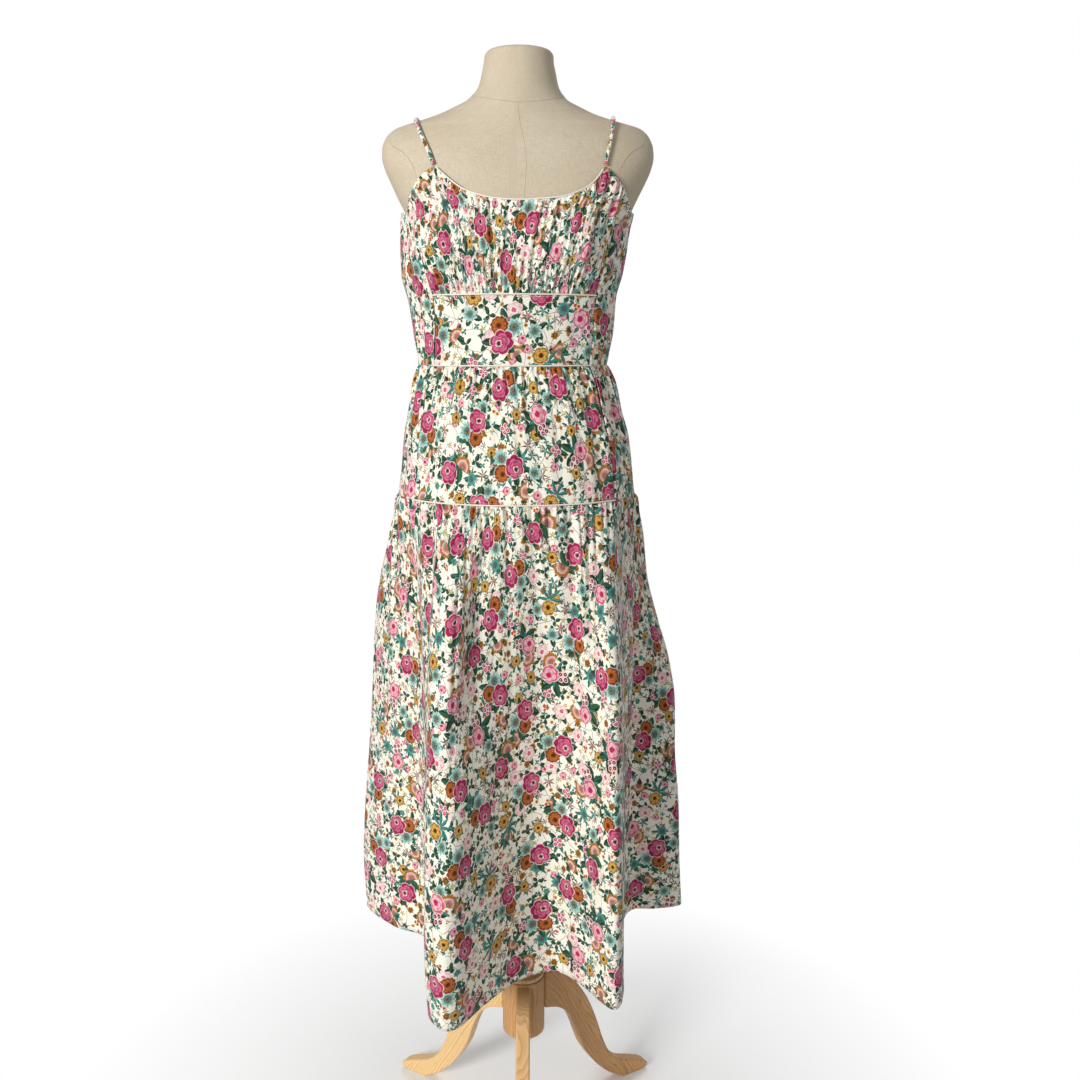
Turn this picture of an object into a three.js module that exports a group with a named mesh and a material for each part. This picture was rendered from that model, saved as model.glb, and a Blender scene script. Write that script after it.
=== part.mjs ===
// A long tiered cotton sundress with spaghetti straps, on a linen dress form with a wooden stand.
// Millimetres, +Z up, +X to the viewer's right, -Y towards the viewer. Z = 0 is the floor.
// A turn is an angle in degrees round the body: 0 at the front centre, 90 at the viewer's right
// side, 180 at the back centre and -90 at the viewer's left side.
import * as THREE from 'three';
import { mergeVertices } from 'three/addons/utils/BufferGeometryUtils.js';

// Cloth and seams
const CLOTH = 1.5;
const SEAM_GAP = 0.3;
const PIPING_RADIUS = 1.1;
const STRAP_RADIUS = 2.6;
const STRAP_CLEARANCE = 0.7;
const STRAP_SEAT_FRONT = 1.8;
const STRAP_SEAT_BACK = 1.75;
const PIPING_STAND_OFF = 1;
const NECKLINE_PIPING_LIFT = 0.5;
const NECKLINE_PIPING_INSET_TURN = 1.6;
const CORD_SIDES = 6;
const CORD_STEPS = { strap: 28, neckline: 40, bodice: 20, hip: 28 };

// Heights of the seams and the hem
const UNDERBUST_Z = 1288;
const WAIST_Z = 1194;
const HIP_Z = 1010;
const HEM_Z = 300;
const BACK_TOP_Z = 1401;
const STRAP_TIP_Z = 1455;
const SIDE_TOP_Z = 1420;

// Turns of the strap points and of the skirt's side seams
const STRAP_TURN = { left: -33, right: 36.5 };
const SKIRT_SEAM = { left: -56, right: 53 };
const SIDE_GAP_TURN = { bodice: 0.34, skirt: 0.2 };

// Gathers, counted across each panel
const BUST_GATHERS = 28;
const BACK_BODICE_GATHERS = 20;
const SKIRT_GATHERS = { front: 28, back: 26 };
const BUST_COLUMNS_PER_GATHER = 3;
const COLUMNS_PER_GATHER = 2;
const COLUMN_SHIFT = 0.5;
const LOWEST_CREST = 0.55;

// A starting number for each panel's unevenness
const SEEDS = { bust: 1, back: 3, upperFront: 5, upperBack: 7, lowerFront: 9, lowerBack: 11 };

// Dress form and stand
const FORM_SIDES = 36;
const FORM_BASE_Z = 862;
const POLE_RADIUS = 14;
const HUB_RADIUS = 33;
const HUB_BOTTOM_Z = 147;
const HUB_TOP_Z = 241;
const HUB_CHAMFER = 4;
const COLLAR_RADIUS = 31.5;
const COLLAR_HEIGHT = 7;
const COLLAR_EDGE = 2;
const LEG_WIDTH = 21;
const LEG_BEVEL = 2;
const LEG_ROOT = HUB_RADIUS + 0.4;
const LEG_TURNS = { leg_front: -90, leg_right: 30, leg_left: 150 };
const ROUND_SIDES = 32;

// The form's level sections: how far it reaches to each side, forward and back, and how
// square it is (2 is an ellipse, less is a lens shape, as across the shoulders).
const FORM_SECTIONS = [
  { z: 1616, left: 49.5, right: 44.5, front: 47, back: 54, square: 2 },
  { z: 1604, left: 51, right: 45, front: 48, back: 55, square: 2 },
  { z: 1589, left: 54, right: 48, front: 50, back: 57, square: 2 },
  { z: 1571, left: 59, right: 52, front: 53, back: 61, square: 2 },
  { z: 1553, left: 75, right: 65, front: 57, back: 66, square: 1.9 },
  { z: 1543, left: 96, right: 85, front: 59, back: 69, square: 1.75 },
  { z: 1534, left: 118, right: 106, front: 61, back: 72, square: 1.65 },
  { z: 1525, left: 147, right: 136, front: 64, back: 75, square: 1.6 },
  { z: 1516, left: 175, right: 166, front: 67, back: 79, square: 1.6 },
  { z: 1507, left: 186, right: 176, front: 70, back: 83, square: 1.75 },
  { z: 1500, left: 190, right: 180, front: 73, back: 86, square: 1.9 },
  { z: 1491, left: 193, right: 183, front: 77, back: 89, square: 2.05 },
  { z: 1478, left: 193.5, right: 184, front: 82, back: 93, square: 2.2 },
  { z: 1460, left: 189, right: 180, front: 89, back: 98, square: 2.3 },
  { z: 1441, left: 180.5, right: 171.5, front: 96, back: 101, square: 2.3 },
  { z: 1422, left: 172, right: 162, front: 102, back: 102, square: 2.3 },
  { z: 1403, left: 163, right: 153, front: 107, back: 102, square: 2.2 },
  { z: 1380, left: 159, right: 144, front: 110, back: 101, square: 2.1 },
  { z: 1350, left: 158, right: 139, front: 110, back: 99, square: 2 },
  { z: 1320, left: 156, right: 133, front: 107, back: 97, square: 2 },
  { z: 1288, left: 151, right: 124, front: 101, back: 94, square: 2 },
  { z: 1240, left: 143, right: 118, front: 96, back: 90, square: 2 },
  { z: 1194, left: 137, right: 112, front: 95, back: 88, square: 2 },
  { z: 1150, left: 145, right: 122, front: 99, back: 94, square: 2 },
  { z: 1090, left: 158, right: 142, front: 110, back: 108, square: 2.1 },
  { z: 1010, left: 167, right: 152, front: 120, back: 120, square: 2.1 },
  { z: 940, left: 162, right: 149, front: 116, back: 118, square: 2.1 },
  { z: 895, left: 150, right: 138, front: 106, back: 109, square: 2.1 },
  { z: 870, left: 132, right: 121, front: 91, back: 94, square: 2 },
  { z: FORM_BASE_Z, left: 116, right: 106, front: 78, back: 81, square: 2 },
];

// The outer face of the cloth from the straps to the hip seam, before its gathers.
const GARMENT_SECTIONS = [
  { z: 1480, left: 196, right: 186, front: 87, back: 98, square: 2.2 },
  { z: 1460, left: 192, right: 182, front: 94.5, back: 102, square: 2.3 },
  { z: 1441, left: 184, right: 174, front: 101.5, back: 105, square: 2.3 },
  { z: 1422, left: 176, right: 166, front: 107.5, back: 107, square: 2.3 },
  { z: 1403, left: 168, right: 158, front: 113, back: 107, square: 2.2 },
  { z: 1380, left: 169, right: 151, front: 117, back: 107, square: 2.1 },
  { z: 1350, left: 170, right: 147, front: 117, back: 106, square: 2 },
  { z: 1320, left: 169, right: 142, front: 114, back: 104, square: 2 },
  { z: 1288, left: 161, right: 133, front: 110, back: 102, square: 2 },
  { z: 1240, left: 153, right: 129, front: 106, back: 99, square: 2 },
  { z: 1194, left: 148, right: 122, front: 106, back: 98, square: 2 },
  { z: 1170, left: 154, right: 131, front: 112, back: 105, square: 2 },
  { z: 1129, left: 163, right: 142, front: 122, back: 116, square: 2 },
  { z: 1089, left: 170, right: 154, front: 131, back: 126, square: 2 },
  { z: 1048, left: 174, right: 160, front: 138, back: 133, square: 2 },
  { z: HIP_Z, left: 180, right: 164, front: 145, back: 138, square: 2 },
];

// The fullness of each bust cup on a section: its turn, height and reach.
const CUPS = [
  { turn: -35, z: 1352, wide: 17, above: 50, below: 36 },
  { turn: 35, z: 1352, wide: 17, above: 50, below: 36 },
];
const FORM_CUP = { reach: 18, spread: 1 };
const CLOTH_CUP = { reach: 20, spread: 1.25 };
const CUP_SIDEWAYS = 0.5;

// The top edge of the bodice, from the left underarm over both strap points to the right one.
const TOP_EDGE = [
  { turn: -90, z: BACK_TOP_Z },
  { turn: -71, z: BACK_TOP_Z },
  { turn: -62, z: 1411 },
  { turn: -53, z: 1424 },
  { turn: -45.5, z: 1438 },
  { turn: -39, z: 1448 },
  { turn: STRAP_TURN.left, z: STRAP_TIP_Z },
  { turn: -30, z: 1445 },
  { turn: -25.5, z: 1432.5 },
  { turn: -21, z: 1422.5 },
  { turn: -16, z: 1416 },
  { turn: -10, z: 1410.5 },
  { turn: -3, z: 1408 },
  { turn: 2, z: 1407.5 },
  { turn: 9, z: 1409 },
  { turn: 17.5, z: 1411.5 },
  { turn: 24, z: 1417.5 },
  { turn: 30.5, z: 1428 },
  { turn: 34, z: 1439 },
  { turn: STRAP_TURN.right, z: STRAP_TIP_Z },
  { turn: 43, z: 1445.5 },
  { turn: 49, z: 1436 },
  { turn: 56, z: 1424 },
  { turn: 65, z: 1412 },
  { turn: 72, z: 1403 },
  { turn: 78, z: BACK_TOP_Z },
  { turn: 90, z: BACK_TOP_Z },
];

// Where the side seams of the bodice run, by height.
const BODICE_SEAM = [
  { z: SIDE_TOP_Z, left: -54, right: 58 },
  { z: UNDERBUST_Z, left: -46, right: 52 },
  { z: WAIST_Z, left: -53, right: 53 },
];

// How far the large folds of the bottom tier have opened out, from 0 at the hip seam to 1 at
// the hem, on each side.
const FLARE = [
  { z: HIP_Z, left: 0, right: 0 },
  { z: 985, left: 0.09, right: 0.06 },
  { z: 940, left: 0.27, right: 0.16 },
  { z: 872, left: 0.5, right: 0.26 },
  { z: 802, left: 0.64, right: 0.45 },
  { z: 730, left: 0.715, right: 0.665 },
  { z: 659, left: 0.75, right: 0.775 },
  { z: 586, left: 0.83, right: 0.8 },
  { z: 484, left: 0.98, right: 0.895 },
  { z: 383, left: 1.05, right: 0.945 },
  { z: HEM_Z, left: 1, right: 1 },
];

// The large folds at the hem, seen from above: where each crest, flank and hollow of the cloth
// hangs, and the turn at which it leaves the hip seam. The list goes once round the body.
const HEM_FOLDS = [
  { turn: -97, x: -263, y: 110 },
  { turn: -82, x: -210, y: 42 },
  { turn: -71, x: -158, y: 8 },
  { turn: -57, x: -134, y: -72 },
  { turn: -35, x: -130, y: -199 },
  { turn: -26, x: -106, y: -236 },
  { turn: -22, x: -86, y: -229 },
  { turn: -15, x: -58, y: -184 },
  { turn: -5, x: -25, y: -136 },
  { turn: 4, x: 12, y: -102 },
  { turn: 13, x: 50, y: -92 },
  { turn: 27, x: 84, y: -122 },
  { turn: 41, x: 114, y: -170 },
  { turn: 49, x: 134, y: -186 },
  { turn: 54, x: 147, y: -150 },
  { turn: 61, x: 151, y: -40 },
  { turn: 72, x: 161, y: 52 },
  { turn: 79, x: 179, y: 94 },
  { turn: 86, x: 216, y: 98 },
  { turn: 95, x: 262, y: 112 },
  { turn: 108, x: 246, y: 176 },
  { turn: 120, x: 192, y: 168 },
  { turn: 130, x: 148, y: 182 },
  { turn: 141, x: 124, y: 232 },
  { turn: 149, x: 92, y: 244 },
  { turn: 162, x: 58, y: 196 },
  { turn: 173, x: 28, y: 152 },
  { turn: 183, x: -14, y: 150 },
  { turn: 197, x: -52, y: 204 },
  { turn: 206, x: -84, y: 238 },
  { turn: 214, x: -116, y: 226 },
  { turn: 228, x: -150, y: 168 },
  { turn: 238, x: -196, y: 158 },
  { turn: 248, x: -238, y: 176 },
];

// How high the gathers of each piece stand: on the bust by the share of the way up the piece,
// elsewhere by height.
const BUST_GATHER_HEIGHT = [
  { up: 0, high: 0.4 },
  { up: 0.14, high: 1.7 },
  { up: 0.5, high: 1 },
  { up: 0.86, high: 1.5 },
  { up: 1, high: 0.4 },
];
const BACK_GATHER_HEIGHT = [
  { z: WAIST_Z, high: 0.3 },
  { z: 1240, high: 1.4 },
  { z: 1330, high: 1.2 },
  { z: BACK_TOP_Z, high: 0.6 },
];
const UPPER_GATHER_HEIGHT = [
  { z: HIP_Z, high: 0.4 },
  { z: 1030, high: 0.9 },
  { z: 1100, high: 1.3 },
  { z: 1160, high: 2 },
  { z: 1181, high: 2.4 },
  { z: WAIST_Z, high: 0.5 },
];
const LOWER_GATHER_HEIGHT = [
  { z: 700, high: 0 },
  { z: 860, high: 0.8 },
  { z: 940, high: 1.8 },
  { z: 992, high: 2.6 },
  { z: HIP_Z, high: 0.5 },
];

// Where each cloth wall has a row of points: shares of the way up a bodice piece, and heights.
const BUST_ROWS = [0, 0.14, 0.4, 0.65, 0.86, 1];
const MIDRIFF_ROWS = [0, 0.33, 0.66, 1];
const MIDRIFF_COLUMNS = 18;
const UPPER_ROWS = [WAIST_Z, 1181, 1140, 1080, HIP_Z];
const LOWER_ROWS = [HIP_Z, 992, 945, 881, 790, 690, 560, 430, HEM_Z];

// Where each strap runs: x and the height on the form, from the bust over the shoulder.
const STRAP_ROUTES = {
  strap_left: [
    { x: -114, z: STRAP_TIP_Z + STRAP_SEAT_FRONT, side: -1 },
    { x: -121, z: 1474, side: -1 },
    { x: -129, z: 1491, side: -1 },
    { x: -137, z: 1508, side: -1 },
    { x: -142, z: 1519, side: -1 },
    { x: -144, z: 1525.8, side: -1 },
    { x: -143, z: 1525.8, side: 1 },
    { x: -139, z: 1517, side: 1 },
    { x: -132, z: 1501, side: 1 },
    { x: -122, z: 1478, side: 1 },
    { x: -109, z: 1446, side: 1 },
    { x: -98, z: 1420, side: 1 },
    { x: -91, z: BACK_TOP_Z + STRAP_SEAT_BACK, side: 1 },
  ],
  strap_right: [
    { x: 112, z: STRAP_TIP_Z + STRAP_SEAT_FRONT, side: -1 },
    { x: 116, z: 1474, side: -1 },
    { x: 120, z: 1491, side: -1 },
    { x: 123, z: 1508, side: -1 },
    { x: 125, z: 1519, side: -1 },
    { x: 126, z: 1527.6, side: -1 },
    { x: 126, z: 1527.6, side: 1 },
    { x: 124, z: 1518, side: 1 },
    { x: 119, z: 1501, side: 1 },
    { x: 112, z: 1478, side: 1 },
    { x: 102, z: 1446, side: 1 },
    { x: 94, z: 1420, side: 1 },
    { x: 88, z: BACK_TOP_Z + STRAP_SEAT_BACK, side: 1 },
  ],
};

// The leg's outline: distance out from the pole's axis and height.
const LEG_TOP = [
  { out: LEG_ROOT, z: 238 },
  { out: 52, z: 237 },
  { out: 75, z: 225 },
  { out: 97, z: 198 },
  { out: 115, z: 168 },
  { out: 131, z: 130 },
  { out: 147, z: 82 },
  { out: 161, z: 54 },
  { out: 180, z: 36 },
  { out: 206, z: 25 },
  { out: 228, z: 16 },
];
const LEG_TOE = [
  { out: 238, z: 9 },
  { out: 237, z: 4 },
  { out: 226, z: 0 },
];
const LEG_UNDERSIDE = [
  { out: 190, z: 0 },
  { out: 158, z: 19 },
  { out: 129, z: 49 },
  { out: 108, z: 81 },
  { out: 98, z: 104 },
  { out: 89, z: 130 },
  { out: 77, z: 154 },
  { out: 58, z: 170 },
  { out: LEG_ROOT, z: 177 },
];
const LEG_CURVE_POINTS = 13;

const COLOURS = {
  cotton: { color: 0xefe6d8, roughness: 0.85 },
  piping: { color: 0xf1e7cf, roughness: 0.7 },
  linen: { color: 0xd9cfbc, roughness: 0.9 },
  wood: { color: 0xd2a570, roughness: 0.5 },
};

const WELD = 0.001;

const radians = THREE.MathUtils.degToRad;
const mix = THREE.MathUtils.lerp;

// A value between 0 and 1 that looks random and is the same each time.
function uneven(index, seed) {
  const wave = Math.sin(index * 12.9898 + seed * 78.233) * 43758.5453;
  return wave - Math.floor(wave);
}

// The row of a table at a value of its key column, with every other column blended in between.
function tableAt(table, key, value) {
  const rising = table[0][key] < table[table.length - 1][key];
  const rows = rising ? table : [...table].reverse();
  const clamped = THREE.MathUtils.clamp(value, rows[0][key], rows[rows.length - 1][key]);
  const next = Math.max(1, rows.findIndex((row) => row[key] >= clamped));
  const low = rows[next - 1];
  const high = rows[next];
  const share = (clamped - low[key]) / (high[key] - low[key]);
  const blended = {};
  for (const name of Object.keys(low)) {
    blended[name] = mix(low[name], high[name], share);
  }
  return blended;
}

// How much the bust cups lift a section at a turn and height.
function cupLift(turn, z, cup) {
  let lift = 0;
  for (const place of CUPS) {
    const away = THREE.MathUtils.euclideanModulo(turn - place.turn + 180, 360) - 180;
    const across = away / (place.wide * cup.spread);
    const up = (z - place.z) / (z > place.z ? place.above : place.below);
    lift += cup.reach * Math.exp(-across * across - up * up);
  }
  return lift;
}

// A point of a body section, with the bust's fullness.
function bodyPoint(sections, cup, turn, z) {
  const section = tableAt(sections, 'z', z);
  const angle = radians(turn);
  const power = 2 / section.square;
  const across = Math.sign(Math.sin(angle)) * Math.abs(Math.sin(angle)) ** power;
  const along = Math.sign(Math.cos(angle)) * Math.abs(Math.cos(angle)) ** power;
  const halfWidth = (section.left + section.right) / 2;
  const middle = (section.right - section.left) / 2;
  const depth = along > 0 ? section.front : section.back;
  const lift = cupLift(turn, z, cup);
  const x = middle + across * (halfWidth + CUP_SIDEWAYS * lift);
  const y = -along * depth - (along > 0 ? along * lift : 0);
  return new THREE.Vector3(x, y, z);
}

const formPoint = (turn, z) => bodyPoint(FORM_SECTIONS, FORM_CUP, turn, z);
const garmentPoint = (turn, z) => bodyPoint(GARMENT_SECTIONS, CLOTH_CUP, turn, z);

// The hem seen from above at a turn: a smooth closed curve through the fold table.
function hemPoint(turn) {
  const count = HEM_FOLDS.length;
  const start = HEM_FOLDS[0].turn;
  const wrapped = start + THREE.MathUtils.euclideanModulo(turn - start, 360);
  const row = (index) => {
    const laps = Math.floor(index / count);
    const fold = HEM_FOLDS[THREE.MathUtils.euclideanModulo(index, count)];
    return { turn: fold.turn + 360 * laps, x: fold.x, y: fold.y };
  };
  let index = 0;
  while (row(index + 1).turn <= wrapped) {
    index += 1;
  }
  const [before, from, to, after] = [index - 1, index, index + 1, index + 2].map(row);
  const span = to.turn - from.turn;
  const t = (wrapped - from.turn) / span;
  const hermite = (axis) => {
    const leave = (span * (to[axis] - before[axis])) / (to.turn - before.turn);
    const arrive = (span * (after[axis] - from[axis])) / (after.turn - from.turn);
    const value = (2 * t ** 3 - 3 * t ** 2 + 1) * from[axis] + (t ** 3 - 2 * t ** 2 + t) * leave;
    return value + (3 * t ** 2 - 2 * t ** 3) * to[axis] + (t ** 3 - t ** 2) * arrive;
  };
  return new THREE.Vector3(hermite('x'), hermite('y'), HEM_Z);
}

// A point of the bottom tier: between the hip seam and the hem's folds.
function lowerSkirtPoint(turn, z) {
  const hip = garmentPoint(turn, HIP_Z);
  const hem = hemPoint(turn);
  const flare = tableAt(FLARE, 'z', z);
  const share = mix(flare.left, flare.right, (1 + Math.sin(radians(turn))) / 2);
  return new THREE.Vector3(mix(hip.x, hem.x, share), mix(hip.y, hem.y, share), z);
}

// Level direction out of the cloth at each point of a grid of rows and columns.
function gridNormals(grid) {
  const lastColumn = grid[0].length - 1;
  return grid.map((row) => row.map((point, c) => {
    const along = row[Math.min(c + 1, lastColumn)].clone().sub(row[Math.max(c - 1, 0)]);
    return new THREE.Vector3(along.y, -along.x, 0).normalize();
  }));
}

// Moves each point of a grid along its direction by a distance given for its row and column.
function moveGrid(grid, normals, distance) {
  return grid.map((row, r) => row.map((point, c) => (
    point.clone().addScaledVector(normals[r][c], distance(r, c))
  )));
}

// Welds a geometry's shared corners and turns its faces outwards.
function closedSolid(geometry) {
  geometry.deleteAttribute('normal');
  geometry.deleteAttribute('uv');
  const solid = mergeVertices(geometry, WELD);
  const place = solid.getAttribute('position');
  const faces = solid.getIndex().array;
  const corner = (index) => new THREE.Vector3().fromBufferAttribute(place, faces[index]);
  let volume = 0;
  for (let i = 0; i < faces.length; i += 3) {
    volume += corner(i).dot(corner(i + 1).cross(corner(i + 2)));
  }
  if (volume < 0) {
    for (let i = 0; i < faces.length; i += 3) {
      [faces[i + 1], faces[i + 2]] = [faces[i + 2], faces[i + 1]];
    }
  }
  solid.computeVertexNormals();
  return solid;
}

// Joins lists of corner points into faces: each quad is split in two.
class FaceList {
  constructor() {
    this.values = [];
  }

  triangle(a, b, c) {
    for (const point of [a, b, c]) {
      this.values.push(point.x, point.y, point.z);
    }
  }

  quad(a, b, c, d) {
    this.triangle(a, b, c);
    this.triangle(a, c, d);
  }

  solid() {
    const geometry = new THREE.BufferGeometry();
    geometry.setAttribute('position', new THREE.Float32BufferAttribute(this.values, 3));
    return closedSolid(geometry);
  }
}

// A gathered cloth wall. The smooth grid is its outer face before the gathers, with rows going
// up and columns going towards +turn. The two side edges keep the smooth grid's direction, so
// that they meet the next panel square.
function clothWall(smooth, gatherHeight) {
  const smoothNormals = gridNormals(smooth);
  const outer = moveGrid(smooth, smoothNormals, gatherHeight);
  const wallNormals = gridNormals(outer);
  for (let r = 0; r < smooth.length; r += 1) {
    for (const c of [0, smooth[r].length - 1]) {
      wallNormals[r][c] = smoothNormals[r][c];
    }
  }
  const inner = moveGrid(outer, wallNormals, () => -CLOTH);
  const faces = new FaceList();
  const lastRow = outer.length - 1;
  const lastColumn = outer[0].length - 1;
  for (let r = 0; r < lastRow; r += 1) {
    for (let c = 0; c < lastColumn; c += 1) {
      faces.quad(outer[r][c], outer[r][c + 1], outer[r + 1][c + 1], outer[r + 1][c]);
      faces.quad(inner[r][c], inner[r + 1][c], inner[r + 1][c + 1], inner[r][c + 1]);
    }
    faces.quad(inner[r][0], outer[r][0], outer[r + 1][0], inner[r + 1][0]);
    const end = lastColumn;
    faces.quad(outer[r][end], inner[r][end], inner[r + 1][end], outer[r + 1][end]);
  }
  for (let c = 0; c < lastColumn; c += 1) {
    faces.quad(inner[0][c], inner[0][c + 1], outer[0][c + 1], outer[0][c]);
    const top = lastRow;
    faces.quad(outer[top][c], outer[top][c + 1], inner[top][c + 1], inner[top][c]);
  }
  return faces.solid();
}

// A round cord of cloth along a list of points, closed at both ends.
function cordAlong(points, radius, steps) {
  const section = new THREE.Shape();
  for (let i = 0; i < CORD_SIDES; i += 1) {
    const angle = (2 * Math.PI * i) / CORD_SIDES;
    const x = radius * Math.cos(angle);
    const y = radius * Math.sin(angle);
    if (i === 0) {
      section.moveTo(x, y);
    } else {
      section.lineTo(x, y);
    }
  }
  section.closePath();
  const extrudePath = new THREE.CatmullRomCurve3(points, false, 'centripetal');
  return closedSolid(new THREE.ExtrudeGeometry(section, { steps, extrudePath, bevelEnabled: false }));
}

// A turned solid about the Z axis, from its half outline of radius and height.
function turnedSolid(outline, sides) {
  const points = outline.map((row) => new THREE.Vector2(row.out, row.z));
  const geometry = new THREE.LatheGeometry(points, sides);
  geometry.rotateX(Math.PI / 2);
  return closedSolid(geometry);
}

// The columns of a gathered panel: shares of the way from one seam to the other, unevenly
// spaced. The column nearest to each fixed share is moved onto it.
function gatherColumns(count, seed, fixed = []) {
  const columns = [];
  for (let c = 0; c <= count; c += 1) {
    const inside = c > 0 && c < count;
    const shift = inside ? COLUMN_SHIFT * (uneven(c, seed) - 0.5) : 0;
    columns.push((c + shift) / count);
  }
  for (const share of fixed) {
    columns[Math.round(share * count)] = share;
  }
  return columns;
}

// Height of the gathers at a column: each crest is a little higher or lower than the next.
function gatherWave(column, perGather, lastColumn, seed) {
  if (column === 0 || column === lastColumn) {
    return 0;
  }
  const strength = mix(LOWEST_CREST, 1, uneven(Math.floor(column / perGather), seed));
  return strength * Math.cos((2 * Math.PI * column) / perGather);
}

function bustFront() {
  const topSeam = tableAt(BODICE_SEAM, 'z', SIDE_TOP_Z);
  const strapShares = [STRAP_TURN.left, STRAP_TURN.right].map((turn) => (
    (turn - topSeam.left) / (topSeam.right - topSeam.left)
  ));
  const columns = gatherColumns(BUST_GATHERS * BUST_COLUMNS_PER_GATHER, SEEDS.bust, strapShares);
  const bottom = UNDERBUST_Z + SEAM_GAP;
  const smooth = BUST_ROWS.map((share) => columns.map((across) => {
    const top = tableAt(TOP_EDGE, 'turn', mix(topSeam.left, topSeam.right, across)).z;
    const z = mix(bottom, top, share);
    const seam = tableAt(BODICE_SEAM, 'z', z);
    return garmentPoint(mix(seam.left, seam.right, across), z);
  }));
  const lastColumn = columns.length - 1;
  return clothWall(smooth, (r, c) => {
    const wave = gatherWave(c, BUST_COLUMNS_PER_GATHER, lastColumn, SEEDS.bust + 1);
    return tableAt(BUST_GATHER_HEIGHT, 'up', BUST_ROWS[r]).high * wave;
  });
}

function midriffFront() {
  const smooth = MIDRIFF_ROWS.map((share) => {
    const z = mix(WAIST_Z + SEAM_GAP, UNDERBUST_Z, share);
    const seam = tableAt(BODICE_SEAM, 'z', z);
    return Array.from({ length: MIDRIFF_COLUMNS + 1 }, (_, c) => (
      garmentPoint(mix(seam.left, seam.right, c / MIDRIFF_COLUMNS), z)
    ));
  });
  return clothWall(smooth, () => 0);
}

// The back of the bodice goes from the right side seam round the back to the left one. Its
// rows are level with those of the two front pieces, and its edges stop short of their seams.
function backBodice() {
  const columns = gatherColumns(BACK_BODICE_GATHERS * COLUMNS_PER_GATHER, SEEDS.back);
  const topSeam = tableAt(BODICE_SEAM, 'z', SIDE_TOP_Z);
  const heights = [
    ...MIDRIFF_ROWS.slice(0, -1).map((share) => () => mix(WAIST_Z + SEAM_GAP, UNDERBUST_Z, share)),
    ...BUST_ROWS.map((share) => (top) => mix(UNDERBUST_Z + SEAM_GAP, top, share)),
  ];
  const smooth = heights.map((heightUnder) => columns.map((across) => {
    const topTurn = mix(topSeam.right, topSeam.left + 360, across);
    const wrapped = topTurn > 180 ? topTurn - 360 : topTurn;
    const z = heightUnder(tableAt(TOP_EDGE, 'turn', wrapped).z);
    const seam = tableAt(BODICE_SEAM, 'z', z);
    const from = seam.right + SIDE_GAP_TURN.bodice;
    const to = seam.left + 360 - SIDE_GAP_TURN.bodice;
    return garmentPoint(mix(from, to, across), z);
  }));
  const lastColumn = columns.length - 1;
  return clothWall(smooth, (r, c) => {
    const wave = gatherWave(c, COLUMNS_PER_GATHER, lastColumn, SEEDS.back + 1);
    return tableAt(BACK_GATHER_HEIGHT, 'z', smooth[r][c].z).high * wave;
  });
}

// A front or back panel of a skirt tier, from its rows of heights and its surface.
function skirtPanel(side, rows, surface, heights, seed) {
  const columns = gatherColumns(SKIRT_GATHERS[side] * COLUMNS_PER_GATHER, seed);
  const halfGap = SIDE_GAP_TURN.skirt / 2;
  const from = side === 'front' ? SKIRT_SEAM.left : SKIRT_SEAM.right;
  const to = side === 'front' ? SKIRT_SEAM.right : SKIRT_SEAM.left + 360;
  const levels = [...rows].reverse();
  const topRow = levels.length - 1;
  const smooth = levels.map((level, r) => columns.map((across) => (
    surface(mix(from + halfGap, to - halfGap, across), r === topRow ? level - SEAM_GAP : level)
  )));
  const lastColumn = columns.length - 1;
  return clothWall(smooth, (r, c) => (
    tableAt(heights, 'z', levels[r]).high * gatherWave(c, COLUMNS_PER_GATHER, lastColumn, seed + 1)
  ));
}

function upperSkirt(side, seed) {
  return skirtPanel(side, UPPER_ROWS, garmentPoint, UPPER_GATHER_HEIGHT, seed);
}

function lowerSkirt(side, seed) {
  return skirtPanel(side, LOWER_ROWS, lowerSkirtPoint, LOWER_GATHER_HEIGHT, seed);
}

// Piping laid on the outside of a level seam, between two side seams.
function seamPiping(z, sides, steps) {
  const points = [];
  for (let i = 0; i <= steps; i += 1) {
    const turn = mix(sides.left, sides.right, i / steps);
    const point = garmentPoint(turn, z);
    const ahead = garmentPoint(turn + 1, z).sub(garmentPoint(turn - 1, z));
    const out = new THREE.Vector3(ahead.y, -ahead.x, 0).normalize();
    points.push(point.addScaledVector(out, PIPING_STAND_OFF + PIPING_RADIUS));
  }
  return cordAlong(points, PIPING_RADIUS, steps);
}

// Piping along the neckline, just above the cloth's edge, from one strap to the other.
function necklinePiping() {
  const steps = CORD_STEPS.neckline;
  const from = STRAP_TURN.left + NECKLINE_PIPING_INSET_TURN;
  const to = STRAP_TURN.right - NECKLINE_PIPING_INSET_TURN;
  const points = [];
  for (let i = 0; i <= steps; i += 1) {
    const turn = mix(from, to, i / steps);
    const z = tableAt(TOP_EDGE, 'turn', turn).z;
    const point = garmentPoint(turn, z);
    const inward = new THREE.Vector3(-point.x, -point.y, 0).normalize();
    point.addScaledVector(inward, CLOTH / 2);
    point.z += SEAM_GAP + PIPING_RADIUS + NECKLINE_PIPING_LIFT;
    points.push(point);
  }
  return cordAlong(points, PIPING_RADIUS, steps);
}

// The form's surface as a level: above 1 outside, below 1 inside.
function formLevel(x, y, z) {
  const section = tableAt(FORM_SECTIONS, 'z', z);
  const halfWidth = (section.left + section.right) / 2;
  const middle = (section.right - section.left) / 2;
  const depth = y < 0 ? section.front : section.back;
  const across = Math.abs((x - middle) / halfWidth) ** section.square;
  return across + Math.abs(y / depth) ** section.square;
}

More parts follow.
